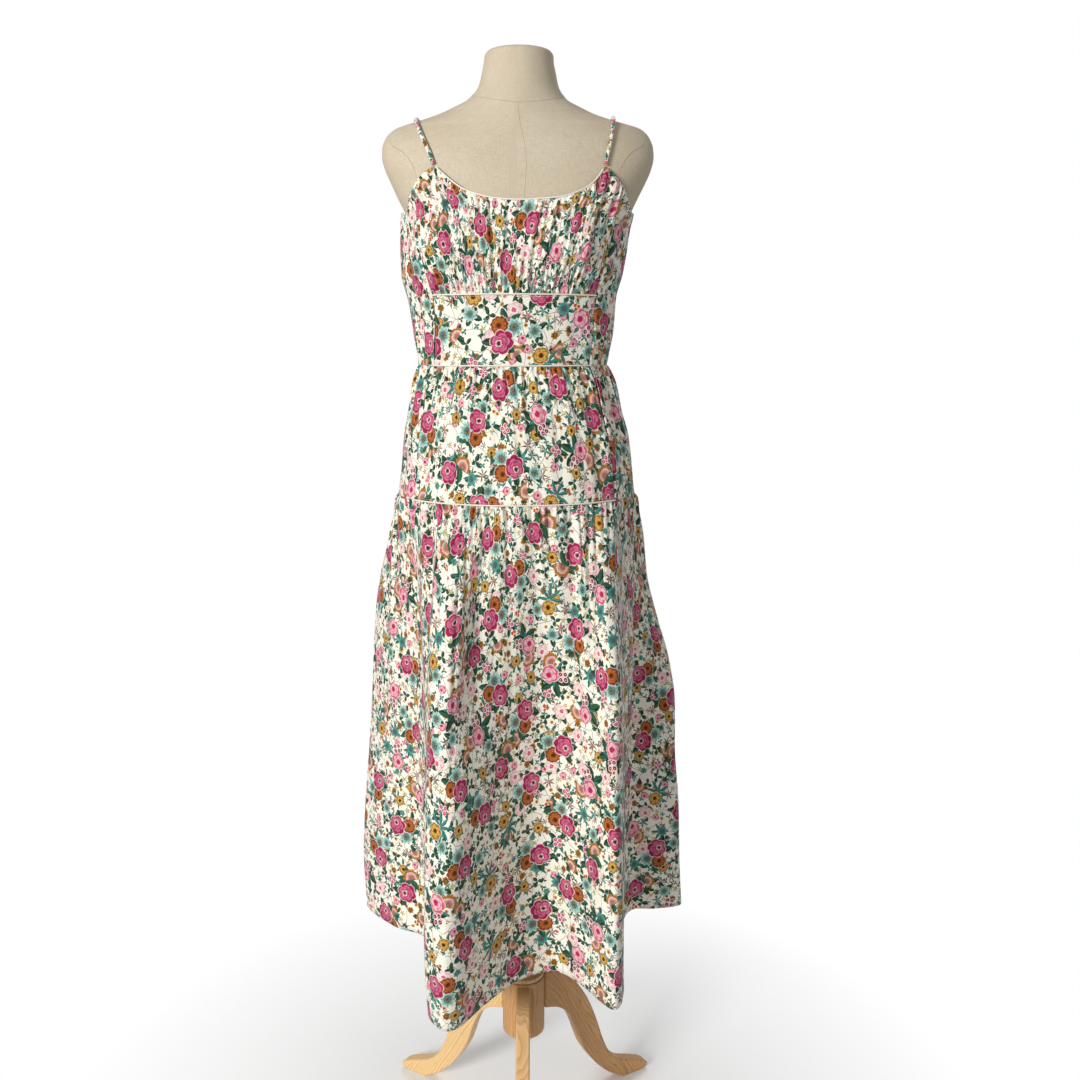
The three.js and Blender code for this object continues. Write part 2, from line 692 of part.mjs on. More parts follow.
// The strap's middle line: points on the form, moved out by the strap's own radius.
function strapPoint(place) {
  const section = tableAt(FORM_SECTIONS, 'z', place.z);
  const halfWidth = (section.left + section.right) / 2;
  const middle = (section.right - section.left) / 2;
  const across = Math.min(1, Math.abs((place.x - middle) / halfWidth) ** section.square);
  const depth = place.side < 0 ? section.front : section.back;
  const y = place.side * depth * (1 - across) ** (1 / section.square);
  const step = 1.5;
  const slope = new THREE.Vector3(
    formLevel(place.x + step, y, place.z) - formLevel(place.x - step, y, place.z),
    formLevel(place.x, y + step, place.z) - formLevel(place.x, y - step, place.z),
    formLevel(place.x, y, place.z + step) - formLevel(place.x, y, place.z - step),
  ).normalize();
  return new THREE.Vector3(place.x, y, place.z)
    .addScaledVector(slope, STRAP_RADIUS + STRAP_CLEARANCE);
}

function strap(name) {
  return cordAlong(STRAP_ROUTES[name].map(strapPoint), STRAP_RADIUS, CORD_STEPS.strap);
}

// The form's torso and neck as one smooth closed body.
function formTorso() {
  const faces = new FaceList();
  const rings = FORM_SECTIONS.map((section) => (
    Array.from({ length: FORM_SIDES }, (_, c) => formPoint((360 * c) / FORM_SIDES, section.z))
  ));
  const next = (c) => (c + 1) % FORM_SIDES;
  for (let r = 0; r < rings.length - 1; r += 1) {
    for (let c = 0; c < FORM_SIDES; c += 1) {
      faces.quad(rings[r + 1][c], rings[r + 1][next(c)], rings[r][next(c)], rings[r][c]);
    }
  }
  for (const [ring, up] of [[rings[0], true], [rings[rings.length - 1], false]]) {
    const middle = ring.reduce((sum, point) => sum.add(point), new THREE.Vector3());
    middle.divideScalar(ring.length);
    for (let c = 0; c < FORM_SIDES; c += 1) {
      const pair = up ? [ring[c], ring[next(c)]] : [ring[next(c)], ring[c]];
      faces.triangle(middle, pair[0], pair[1]);
    }
  }
  return faces.solid();
}

// A curved tripod leg, sawn from a board, lying in the plane of X and Z.
function legShape() {
  const smooth = (rows) => {
    const points = rows.map((row) => new THREE.Vector2(row.out, row.z));
    return new THREE.SplineCurve(points).getPoints(LEG_CURVE_POINTS);
  };
  const toe = LEG_TOE.map((row) => new THREE.Vector2(row.out, row.z));
  const outline = [...smooth(LEG_TOP), ...toe, ...smooth(LEG_UNDERSIDE)];
  const geometry = new THREE.ExtrudeGeometry(new THREE.Shape(outline), {
    depth: LEG_WIDTH - 2 * LEG_BEVEL,
    bevelThickness: LEG_BEVEL,
    bevelSize: LEG_BEVEL,
    bevelOffset: -LEG_BEVEL,
    bevelSegments: 1,
  });
  geometry.translate(0, 0, LEG_BEVEL - LEG_WIDTH / 2);
  geometry.rotateX(Math.PI / 2);
  return closedSolid(geometry);
}

function hub() {
  return turnedSolid([
    { out: 0, z: HUB_BOTTOM_Z },
    { out: HUB_RADIUS - HUB_CHAMFER, z: HUB_BOTTOM_Z },
    { out: HUB_RADIUS, z: HUB_BOTTOM_Z + HUB_CHAMFER },
    { out: HUB_RADIUS, z: HUB_TOP_Z },
    { out: 0, z: HUB_TOP_Z },
  ], ROUND_SIDES);
}

function hubCollar() {
  const bottom = HUB_TOP_Z + SEAM_GAP;
  return turnedSolid([
    { out: 0, z: bottom },
    { out: COLLAR_RADIUS - COLLAR_EDGE, z: bottom },
    { out: COLLAR_RADIUS, z: bottom + COLLAR_EDGE },
    { out: COLLAR_RADIUS, z: bottom + COLLAR_HEIGHT - COLLAR_EDGE },
    { out: COLLAR_RADIUS - COLLAR_EDGE, z: bottom + COLLAR_HEIGHT },
    { out: 0, z: bottom + COLLAR_HEIGHT },
  ], ROUND_SIDES);
}

function pole() {
  const bottom = HUB_TOP_Z + COLLAR_HEIGHT + 2 * SEAM_GAP;
  const length = FORM_BASE_Z - SEAM_GAP - bottom;
  const geometry = new THREE.CylinderGeometry(POLE_RADIUS, POLE_RADIUS, length, ROUND_SIDES / 2);
  geometry.rotateX(Math.PI / 2);
  geometry.translate(0, 0, bottom + length / 2);
  return closedSolid(geometry);
}

function named(name, geometry, colour) {
  const { color, roughness } = COLOURS[colour];
  const material = new THREE.MeshStandardMaterial({ color, roughness, metalness: 0 });
  const mesh = new THREE.Mesh(geometry, material);
  mesh.name = name;
  return mesh;
}

function sundress() {
  const bustSeam = tableAt(BODICE_SEAM, 'z', UNDERBUST_Z);
  const waistSeam = tableAt(BODICE_SEAM, 'z', WAIST_Z);
  const dress = new THREE.Group();
  dress.add(
    named('bust_front', bustFront(), 'cotton'),
    named('midriff_front', midriffFront(), 'cotton'),
    named('back_bodice', backBodice(), 'cotton'),
    named('upper_skirt_front', upperSkirt('front', SEEDS.upperFront), 'cotton'),
    named('upper_skirt_back', upperSkirt('back', SEEDS.upperBack), 'cotton'),
    named('lower_skirt_front', lowerSkirt('front', SEEDS.lowerFront), 'cotton'),
    named('lower_skirt_back', lowerSkirt('back', SEEDS.lowerBack), 'cotton'),
    named('strap_left', strap('strap_left'), 'cotton'),
    named('strap_right', strap('strap_right'), 'cotton'),
    named('piping_neckline', necklinePiping(), 'piping'),
    named('piping_underbust', seamPiping(UNDERBUST_Z, bustSeam, CORD_STEPS.bodice), 'piping'),
    named('piping_waist', seamPiping(WAIST_Z, waistSeam, CORD_STEPS.bodice), 'piping'),
    named('piping_hip', seamPiping(HIP_Z, SKIRT_SEAM, CORD_STEPS.hip), 'piping'),
  );
  return dress;
}

function stand() {
  const base = new THREE.Group();
  base.add(
    named('form_torso', formTorso(), 'linen'),
    named('pole', pole(), 'wood'),
    named('hub', hub(), 'wood'),
    named('hub_collar', hubCollar(), 'wood'),
  );
  for (const [name, turn] of Object.entries(LEG_TURNS)) {
    const leg = named(name, legShape(), 'wood');
    leg.rotation.z = radians(turn);
    base.add(leg);
  }
  return base;
}

// The whole object, moved so that its origin is at the middle of its box on the floor.
const group = new THREE.Group();
group.add(sundress(), stand());
group.updateMatrixWorld(true);
const bounds = new THREE.Box3().setFromObject(group, true);
const centre = bounds.getCenter(new THREE.Vector3());
group.position.set(-centre.x, -centre.y, -bounds.min.z);
group.updateMatrixWorld(true);

export default group;
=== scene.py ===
# A long floral sundress on a linen dress form with a wooden tripod stand.
# Tables are in millimetres about the pole's axis, +Z up and -Y towards the viewer, and meshes
# are in metres in the shared frame. Colours are sRGB hex values.
# A turn is an angle in degrees round the body: 0 at the front, 90 at the viewer's right side.
import math

import bpy
import numpy as np
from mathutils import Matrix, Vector


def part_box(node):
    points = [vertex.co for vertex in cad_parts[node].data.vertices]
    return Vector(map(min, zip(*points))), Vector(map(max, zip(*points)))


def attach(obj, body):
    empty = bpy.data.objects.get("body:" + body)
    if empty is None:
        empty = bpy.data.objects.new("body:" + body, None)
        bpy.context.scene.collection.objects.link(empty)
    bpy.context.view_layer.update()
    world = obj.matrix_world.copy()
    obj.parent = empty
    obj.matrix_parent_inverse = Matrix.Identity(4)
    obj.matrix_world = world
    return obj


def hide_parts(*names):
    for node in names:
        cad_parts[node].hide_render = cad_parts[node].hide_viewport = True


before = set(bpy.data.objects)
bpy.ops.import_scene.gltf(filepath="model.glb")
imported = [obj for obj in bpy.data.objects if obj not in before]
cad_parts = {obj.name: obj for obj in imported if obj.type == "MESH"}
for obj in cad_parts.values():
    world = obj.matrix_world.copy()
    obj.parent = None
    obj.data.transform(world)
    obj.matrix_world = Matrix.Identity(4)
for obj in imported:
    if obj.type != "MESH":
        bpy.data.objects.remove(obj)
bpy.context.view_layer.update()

bl_info = {
    "name": "Floral Sundress on a Dress Form",
    "version": (1, 0, 0),
    "blender": (4, 5, 0),
    "location": "View3D > Sidebar > Sundress",
    "description": "Builds a tiered cotton sundress, its linen dress form and the wooden stand",
    "category": "Add Mesh",
}

MM = 0.001
CM = 0.01
CUT_MAP = "cut"
GRAIN = "grain"

# Heights of the seams and the hem
UNDERBUST_Z = 1288
WAIST_Z = 1194
HIP_Z = 1010
HEM_Z = 300
STRAP_TIP_Z = 1455
SIDE_TOP_Z = 1420

# Turns of the strap points and of the skirt's side seams
STRAP_LEFT, STRAP_RIGHT = -33, 36.5
SEAM_LEFT, SEAM_RIGHT = -56, 53

# Level sections of the form: height, reach to the left, right, front and back, and squareness
FORM_SECTIONS = [
    (1616, 49.5, 44.5, 47, 54, 2),
    (1604, 51, 45, 48, 55, 2),
    (1589, 54, 48, 50, 57, 2),
    (1571, 59, 52, 53, 61, 2),
    (1553, 75, 65, 57, 66, 1.9),
    (1543, 96, 85, 59, 69, 1.75),
    (1534, 118, 106, 61, 72, 1.65),
    (1525, 147, 136, 64, 75, 1.6),
    (1516, 175, 166, 67, 79, 1.6),
    (1507, 186, 176, 70, 83, 1.75),
    (1500, 190, 180, 73, 86, 1.9),
    (1491, 193, 183, 77, 89, 2.05),
    (1478, 193.5, 184, 82, 93, 2.2),
    (1460, 189, 180, 89, 98, 2.3),
    (1441, 180.5, 171.5, 96, 101, 2.3),
    (1422, 172, 162, 102, 102, 2.3),
    (1403, 163, 153, 107, 102, 2.2),
    (1380, 159, 144, 110, 101, 2.1),
    (1350, 158, 139, 110, 99, 2),
    (1320, 156, 133, 107, 97, 2),
    (1288, 151, 124, 101, 94, 2),
    (1240, 143, 118, 96, 90, 2),
    (1194, 137, 112, 95, 88, 2),
    (1150, 145, 122, 99, 94, 2),
    (1090, 158, 142, 110, 108, 2.1),
    (1010, 167, 152, 120, 120, 2.1),
    (940, 162, 149, 116, 118, 2.1),
    (895, 150, 138, 106, 109, 2.1),
    (870, 132, 121, 91, 94, 2),
    (862, 116, 106, 78, 81, 2),
]

# Level sections of the cloth's outer face from the straps to the hip seam, in the same columns
GARMENT_SECTIONS = [
    (1480, 196, 186, 87, 98, 2.2),
    (1460, 192, 182, 94.5, 102, 2.3),
    (1441, 184, 174, 101.5, 105, 2.3),
    (1422, 176, 166, 107.5, 107, 2.3),
    (1403, 168, 158, 113, 107, 2.2),
    (1380, 169, 151, 117, 107, 2.1),
    (1350, 170, 147, 117, 106, 2),
    (1320, 169, 142, 114, 104, 2),
    (1288, 161, 133, 110, 102, 2),
    (1240, 153, 129, 106, 99, 2),
    (1194, 148, 122, 106, 98, 2),
    (1170, 154, 131, 112, 105, 2),
    (1129, 163, 142, 122, 116, 2),
    (1089, 170, 154, 131, 126, 2),
    (1048, 174, 160, 138, 133, 2),
    (1010, 180, 164, 145, 138, 2),
]

# Bust cups: turn, height, half width in turn, reach above and below
CUPS = [(-35, 1352, 17, 50, 36), (35, 1352, 17, 50, 36)]

# Reach of a cup out of the body and its spread, for the form and for the cloth
FORM_CUP = (18, 1)
CLOTH_CUP = (20, 1.25)
CUP_SIDEWAYS = 0.5

# Top edge of the bodice: turn and height, with a point at each strap
TOP_EDGE = [
    (-90, 1401), (-71, 1401), (-62, 1411), (-53, 1424), (-45.5, 1438), (-39, 1448),
    (STRAP_LEFT, STRAP_TIP_Z),
    (-30, 1445), (-25.5, 1432.5), (-21, 1422.5), (-16, 1416), (-10, 1410.5), (-3, 1408),
    (2, 1407.5), (9, 1409), (17.5, 1411.5), (24, 1417.5), (30.5, 1428), (34, 1439),
    (STRAP_RIGHT, STRAP_TIP_Z),
    (43, 1445.5), (49, 1436), (56, 1424), (65, 1412), (72, 1403), (78, 1401), (90, 1401),
]

# Side seams of the bodice: height, left turn and right turn
BODICE_SEAM = [(1420, -54, 58), (1288, -46, 52), (1194, -53, 53)]

# How far the bottom tier's large folds have opened: height, left and right share
FLARE = [
    (1010, 0, 0), (985, 0.09, 0.06), (940, 0.27, 0.16), (872, 0.5, 0.26), (802, 0.64, 0.45),
    (730, 0.715, 0.665), (659, 0.75, 0.775), (586, 0.83, 0.8), (484, 0.98, 0.895),
    (383, 1.05, 0.945), (300, 1, 1),
]

# Large folds at the hem, once round the body: turn at the hip seam, x and y
HEM_FOLDS = [
    (-97, -263, 110), (-82, -210, 42), (-71, -158, 8), (-57, -134, -72), (-35, -130, -199),
    (-26, -106, -236), (-22, -86, -229), (-15, -58, -184), (-5, -25, -136), (4, 12, -102),
    (13, 50, -92), (27, 84, -122), (41, 114, -170), (49, 134, -186), (54, 147, -150),
    (61, 151, -40), (72, 161, 52), (79, 179, 94), (86, 216, 98), (95, 262, 112), (108, 246, 176),
    (120, 192, 168), (130, 148, 182), (141, 124, 232), (149, 92, 244), (162, 58, 196),
    (173, 28, 152), (183, -14, 150), (197, -52, 204), (206, -84, 238), (214, -116, 226),
    (228, -150, 168), (238, -196, 158), (248, -238, 176),
]

# Creases: turn and height at the top, turn and height at the bottom, half width to the left
# and right, and how far the crease stands out (a trough is below 0)
BUST_CREASES = [
    (-31, 1450, -37, 1300, 3, 5, 2.6),
    (-27, 1430, -30, 1300, 3, 3, -2.2),
    (-20, 1418, -22, 1310, 3, 4, -2.0),
    (-9, 1405, -10, 1330, 3, 3, -2.0),
    (-2, 1380, -3, 1290, 2.5, 4, -2.8),
    (6, 1404, 7, 1295, 4, 3, 2.2),
    (12, 1390, 12, 1292, 3, 3, -2.4),
    (21, 1412, 23, 1320, 3, 4, -2.2),
    (33, 1445, 37, 1300, 5, 3, 2.4),
    (39, 1445, 44, 1310, 3, 4, -2.6),
    (48, 1430, 50, 1320, 3, 4, -2.4),
    (-44, 1430, -42, 1310, 4, 3, -2.4),
]
MIDRIFF_CREASES = [
    (-38, 1280, -44, 1200, 6, 9, -1.0),
    (-12, 1230, -8, 1194, 7, 7, 0.8),
    (34, 1284, 42, 1205, 8, 6, -1.2),
    (45, 1270, 49, 1210, 4, 5, 1.2),
    (10, 1226, 14, 1195, 6, 6, -0.7),
]
UPPER_CREASES = [
    (-44, 1190, -48, 1030, 6, 8, -3.0),
    (-30, 1190, -33, 1060, 7, 7, 2.2),
    (-19, 1190, -17, 1075, 5, 8, -3.2),
    (-7, 1188, -9, 1010, 5, 9, -3.6),
    (-1, 1185, 0, 1035, 8, 5, 2.4),
    (9, 1190, 10, 1080, 6, 6, -2.6),
    (21, 1188, 22, 1020, 6, 7, -2.4),
    (29, 1190, 33, 1090, 7, 5, 2.2),
    (40, 1190, 43, 1012, 5, 8, -3.4),
    (48, 1180, 50, 1030, 7, 5, 2.0),
]
LOWER_CREASES = [
    (-23.5, 1004, -23.6, 700, 2, 3, -3.6),
    (-14.0, 1000, -15.0, 720, 15, 6, -8.0),
    (-29, 1000, -30, 640, 18, 8, 4.5),
    (-20, 790, -27, 560, 9, 14, -5.0),
    (-11, 1000, -13, 720, 12, 12, -4.2),
    (0, 1006, -2, 700, 10, 14, 3.6),
    (7.5, 1006, 8, 600, 8, 12, -4.4),
    (17, 1004, 18, 820, 10, 8, 3.0),
    (26, 1004, 25, 640, 14, 9, -3.4),
    (-42, 1004, -44, 760, 8, 12, -5.0),
    (-50, 1002, -52, 600, 10, 10, 4.0),
    (40, 1006, 38, 560, 8, 12, -4.4),
    (47, 1004, 49, 690, 9, 8, 3.6),
    (-36, 640, -38, 330, 14, 14, 4.0),
    (6, 560, 5, 320, 18, 18, -5.0),
    (22, 600, 23, 330, 16, 12, 4.0),
]
UPPER_BACK_CREASES = [
    (68, 1188, 66, 1040, 6, 8, -3.0), (84, 1190, 82, 1080, 7, 6, 2.4),
    (101, 1188, 104, 1020, 5, 9, -3.4), (122, 1190, 121, 1060, 8, 6, 2.4),
    (140, 1188, 143, 1015, 6, 8, -3.2), (161, 1190, 160, 1070, 6, 7, -2.6),
    (178, 1188, 176, 1020, 8, 6, 2.6), (197, 1190, 199, 1015, 6, 9, -3.4),
    (216, 1188, 214, 1080, 7, 7, 2.2), (236, 1190, 238, 1030, 5, 8, -3.2),
    (260, 1188, 262, 1060, 7, 6, -2.6), (284, 1190, 283, 1030, 7, 8, 2.4),
]
LOWER_BACK_CREASES = [
    (54, 1002, 66, 880, 4, 10, -5.0),
    (62, 1004, 63, 700, 8, 14, -5.0), (76, 1002, 74, 620, 12, 8, 4.2),
    (90, 1004, 92, 720, 7, 14, -5.0), (104, 1000, 102, 600, 12, 12, 4.4),
    (118, 1004, 117, 660, 7, 16, -6.4), (135, 1004, 137, 560, 12, 9, 4.6),
    (152, 1002, 151, 640, 9, 16, -5.6), (170, 1004, 172, 520, 14, 12, 4.4),
    (186, 1004, 184, 600, 9, 15, -5.6), (203, 1004, 204, 620, 12, 8, 4.2),
    (221, 1002, 220, 680, 8, 15, -6.0), (242, 1004, 243, 600, 14, 10, 4.4),
    (258, 1004, 257, 700, 8, 12, -5.0), (278, 1002, 279, 620, 12, 10, 4.2),
    (292, 1004, 291, 700, 8, 12, -4.8), (140, 560, 141, 320, 18, 16, 4.0),
    (200, 600, 201, 320, 18, 16, -4.4), (250, 560, 249, 330, 18, 16, 4.0),
]
BACK_BODICE_CREASES = [
    (66, 1395, 64, 1210, 5, 7, -2.0), (92, 1395, 94, 1230, 6, 6, 1.8),
    (120, 1398, 118, 1200, 5, 7, -2.2), (150, 1395, 152, 1240, 7, 6, 1.8),
    (180, 1398, 179, 1205, 6, 8, -2.2), (210, 1395, 212, 1235, 6, 6, 1.8),
    (240, 1398, 238, 1200, 6, 7, -2.2), (270, 1395, 272, 1225, 6, 6, 1.8),
    (296, 1395, 297, 1210, 5, 6, -2.0),
]

# Straps: x, height and side of the form (-1 front, 1 back), from the bust over the shoulder
STRAP_ROUTES = {
    "strap_left": [
        (-114, 1456.8, -1), (-121, 1474, -1), (-129, 1491, -1), (-137, 1508, -1),
        (-142, 1519, -1), (-144, 1525.8, -1), (-143, 1525.8, 1), (-139, 1517, 1),
        (-132, 1501, 1), (-122, 1478, 1), (-109, 1446, 1), (-98, 1420, 1), (-91, 1402.75, 1),
    ],
    "strap_right": [
        (112, 1456.8, -1), (116, 1474, -1), (120, 1491, -1), (123, 1508, -1),
        (125, 1519, -1), (126, 1527.6, -1), (126, 1527.6, 1), (124, 1518, 1),
        (119, 1501, 1), (112, 1478, 1), (102, 1446, 1), (94, 1420, 1), (88, 1402.75, 1),
    ],
}

# Seam round each shoulder of the form: share of the half width, height and side
ARMHOLE_SEAM = [
    (0.94, 1499, -1), (0.9, 1488, -1), (0.82, 1478, -1), (0.765, 1462, -1),
    (0.765, 1442, -1), (0.8, 1422, -1), (0.86, 1406, -1), (0.94, 1394, -1),
    (0.985, 1390, -1), (0.985, 1390, 1), (0.93, 1396, 1), (0.84, 1414, 1), (0.8, 1440, 1),
    (0.81, 1466, 1), (0.86, 1486, 1), (0.93, 1499, 1),
]

# Seam round the base of the neck: turn and height
NECK_SEAM = [(-180, 1562), (-90, 1560), (-45, 1550), (3, 1540), (50, 1550), (90, 1560), (180, 1562)]

# Centre seams of the form, front and back: turn and height of the top
CENTRE_SEAMS = [(2.5, 1540), (180, 1562)]
CENTRE_SEAM_BASE = 1000

# Radius of the cord that draws each seam of the form, in metres
FORM_SEAM_RADIUS = 0.0008

# Wooden stand
POLE_RADIUS = 14
HUB_PROFILE = [
    (0, 147), (28, 147), (30.5, 147.7), (32.3, 149.5), (33, 152),
    (33, 238.5), (32.5, 240.3), (31, 241), (0, 241),
]
COLLAR_PROFILE = [
    (0, 241.3), (29, 241.3), (30.8, 242), (31.5, 243.6),
    (31.5, 246), (30.8, 247.6), (29, 248.3), (0, 248.3),
]
LEG_ROOT = 33.4
LEG_WIDTH = 21
LEG_ROUNDING = 2.2
GRAIN_SLOPE = -58
LEG_TURNS = {"leg_front": -90, "leg_right": 30, "leg_left": 150}
LEG_WOOD = {"leg_front": "golden_wood", "leg_left": "light_wood", "leg_right": "dark_wood"}
LEG_TOP = [
    (LEG_ROOT, 238), (52, 237), (75, 225), (97, 198), (115, 168), (131, 130), (147, 82),
    (161, 54), (180, 36), (206, 25), (228, 16),
]
LEG_TOE = [(238, 9), (237, 4), (226, 0)]
LEG_UNDERSIDE = [
    (190, 0), (158, 19), (129, 49), (108, 81), (98, 104), (89, 130), (77, 154), (58, 170),
    (LEG_ROOT, 177),
]

# Woods of the stand: name, colour of the grain, and widths of its rings and their bends in cm
WOODS = {
    "light_wood": ("Lacquered Beech", "#C08A4E", 0.42, 1.6),
    "golden_wood": ("Lacquered Beech Quarter Sawn", "#A87440", 0.2, 0.8),
    "dark_wood": ("Lacquered Beech Heartwood", "#8C5A2C", 0.5, 3.6),
}

# Distance between the skirt's gathers
GATHER_SPACING = 10.7

# Fine gathers between them: how many to each gather, height and reach
FINE_GATHERS, FINE_HEIGHT, FINE_REACH = 2.2, 1.1, 13

# Depth of the valley beside each gather, as a share of the gather's height
VALLEY = 0.85

# How far a seam holds the cloth flat, for most seams and for the hip seam
SEAM_HOLD, HIP_HOLD = 4, 7

# How far the cloth may sink towards the form on the bodice and on the skirt
BODICE_ROOM, SKIRT_ROOM = 2.8, 6

# Distance of each cord's middle line out from the form or the cloth
STRAP_LIFT = 3.3
PIPING_LIFT = 1.3

# The neckline's piping: distance out, height above the edge, and turn that it ends short of a strap
NECKLINE_LIFT, NECKLINE_RISE, NECKLINE_INSET = -0.3, 1, 0.8

# Stitches: distance from their seam, then length and thread radius in metres, and unevenness
STITCH_OFFSET = 3
STITCH_LENGTH, STITCH_THREAD = 0.0024, 0.00022
STITCH_UNEVENNESS = 0.06

# Camera, lights and floor
CAMERA_PLACE = (26, -1600, 1215)
CAMERA_PITCH = 9.8
CAMERA_LENS = 36.67
FLOOR_RADIUS, FLOOR_SIDES = 2.6, 96
LIGHTS_AIM = (0, 0, 0.95)

# Lights: name, place and size in metres, and power in watts
LIGHTS = [
    ("key_light", (-3.2, -4.3, 2.2), 1.6, 255),
    ("fill_light", (2.6, -2.4, 1.7), 2.4, 5),
    ("back_light", (0.6, 2.6, 2.8), 2.2, 40),
]

# The pole's axis in the shared frame, in metres
hub_low, hub_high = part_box("hub")
AXIS = (hub_low + hub_high) / 2


def linear(code):
    """An sRGB hex colour as three linear values."""
    values = [int(code[i:i + 2], 16) / 255 for i in (1, 3, 5)]
    return tuple(v / 12.92 if v <= 0.04045 else ((v + 0.055) / 1.055) ** 2.4 for v in values)


def rgba(code):
    return (*linear(code), 1)


# Tables and surfaces

def mix(a, b, share):
    return a + (b - a) * share


def blend_rows(table, at):
    """Every later column of a table at values of its first: smooth, and never past a row."""
    rows = np.array(sorted(table), float)
    keys, values = rows[:, 0], rows[:, 1:]
    x = np.clip(at, keys[0], keys[-1])
    i = np.clip(np.searchsorted(keys, x, side="right") - 1, 0, len(keys) - 2)
    step = np.diff(keys)[:, None]
    slope = np.diff(values, axis=0) / step
    lean = np.zeros_like(values)
    product = slope[:-1] * slope[1:]
    total = slope[:-1] + slope[1:]
    same = product > 0
    lean[1:-1][same] = 2 * product[same] / total[same]
    lean[0], lean[-1] = slope[0], slope[-1]
    t = ((x - keys[i]) / step[i, 0])[..., None]
    span = step[i]
    found = (2 * t**3 - 3 * t**2 + 1) * values[i] + (t**3 - 2 * t**2 + t) * span * lean[i]
    found += (3 * t**2 - 2 * t**3) * values[i + 1] + (t**3 - t**2) * span * lean[i + 1]
    return np.moveaxis(found, -1, 0)


def top_edge(turn):
    """Height of the bodice's top edge at a turn, with its sharp points at the straps."""
    turns = [row[0] for row in TOP_EDGE]
    left, right = turns.index(STRAP_LEFT), turns.index(STRAP_RIGHT)
    side_left = blend_rows(TOP_EDGE[:left + 1], turn)[0]
    neck = blend_rows(TOP_EDGE[left:right + 1], turn)[0]
    side_right = blend_rows(TOP_EDGE[right:], turn)[0]
    return np.where(turn < STRAP_LEFT, side_left, np.where(turn > STRAP_RIGHT, side_right, neck))


def cup_lift(turn, z, cup):
    reach, spread = cup
    lift = 0
    for place, height, wide, above, below in CUPS:
        away = np.mod(turn - place + 180, 360) - 180
        across = away / (wide * spread)
        up = (z - height) / np.where(z > height, above, below)
        lift = lift + reach * np.exp(-across**2 - up**2)
    return lift


def body_point(sections, cup, turn, z):
    """Points of a body at turns and heights, with the fullness of the bust."""
    turn, z = np.broadcast_arrays(np.asarray(turn, float), np.asarray(z, float))
    left, right, front, back, square = blend_rows(sections, z)
    sine, cosine = np.sin(np.radians(turn)), np.cos(np.radians(turn))
    across = np.sign(sine) * np.abs(sine) ** (2 / square)
    along = np.sign(cosine) * np.abs(cosine) ** (2 / square)
    lift = cup_lift(turn, z, cup)
    x = (right - left) / 2 + across * ((left + right) / 2 + CUP_SIDEWAYS * lift)
    y = -along * np.where(along > 0, front + lift, back)
    return np.stack([x, y, z], -1)


def form_point(turn, z):
    return body_point(FORM_SECTIONS, FORM_CUP, turn, z)


def garment_point(turn, z):
    return body_point(GARMENT_SECTIONS, CLOTH_CUP, turn, z)


def hem_point(turn):
    """The hem seen from above: a smooth closed curve through the fold table."""
    rows = np.array(HEM_FOLDS, float)
    lap = np.array([360.0, 0, 0])
    rows = np.concatenate([rows[-1:] - lap, rows, rows[:2] + lap])
    turn = np.asarray(turn, float)
    wrapped = rows[1, 0] + np.mod(turn - rows[1, 0], 360)
    i = np.searchsorted(rows[:, 0], wrapped, side="right") - 1
    before, start, end, after = rows[i - 1], rows[i], rows[i + 1], rows[i + 2]
    span = (end - start)[..., :1]
    t = (wrapped[..., None] - start[..., :1]) / span
    leave = span * (end - before)[..., 1:] / (end - before)[..., :1]
    arrive = span * (after - start)[..., 1:] / (after - start)[..., :1]
    found = (2 * t**3 - 3 * t**2 + 1) * start[..., 1:] + (t**3 - 2 * t**2 + t) * leave
    found += (3 * t**2 - 2 * t**3) * end[..., 1:] + (t**3 - t**2) * arrive
    return found


def lower_point(turn, z):
    """Points of the bottom tier: between the hip seam and the folds of the hem."""
    turn, z = np.broadcast_arrays(np.asarray(turn, float), np.asarray(z, float))
    hip = garment_point(turn, np.full_like(z, HIP_Z))[..., :2]
    left, right = blend_rows(FLARE, z)
    share = mix(left, right, (1 + np.sin(np.radians(turn))) / 2)[..., None]
    level = mix(hip, hem_point(turn), share)
    return np.concatenate([level, z[..., None]], -1)


def level_out(points):
    """Level direction out of the cloth at each point of a grid."""
    along = np.gradient(points, axis=1)
    out = np.stack([along[..., 1], -along[..., 0], np.zeros(along.shape[:2])], -1)
    return out / np.linalg.norm(out, axis=-1, keepdims=True)


def path_lengths(points, axis):
    """Distance covered so far along the rows or columns of a grid."""
    steps = np.linalg.norm(np.diff(points, axis=axis), axis=-1)
    pad = [(0, 0)] * steps.ndim
    pad[axis] = (1, 0)
    return np.cumsum(np.pad(steps, pad), axis=axis)


# Gathers, creases and small unevenness, as distances out of the cloth

def gathers(across, away, count, length, height, reach, seed):
    """Uneven gathers that run away from a seam and fade, each with a tight valley beside it."""
    random = np.random.default_rng(seed)
    pitch = length / count
    total = np.zeros(np.broadcast(across, away).shape)
    from_seam = np.clip(away, 0, None)
    rise = 1 - np.exp(-from_seam / 3)
    for k in range(count + 1):
        middle = (k + random.uniform(-0.3, 0.3)) * pitch
        strong = random.uniform(0.35, 1)
        fade = reach * random.uniform(0.4, 1.5)
        drift = pitch * random.uniform(-0.7, 0.7)
        wide = pitch * random.uniform(0.24, 0.36)
        run = from_seam / fade
        line = middle + drift * run / (1 + run)
        spread = wide * (1 + 0.7 * run)
        gap = across - line
        ridge = np.exp(-((gap / spread) ** 2))
        valley = np.exp(-(((gap - 1.3 * spread) / (0.42 * spread)) ** 2))
        total += strong * np.exp(-(run**2)) * (ridge - VALLEY * valley)
    return height * rise * (total - 0.25 * np.exp(-(from_seam / reach) ** 2))


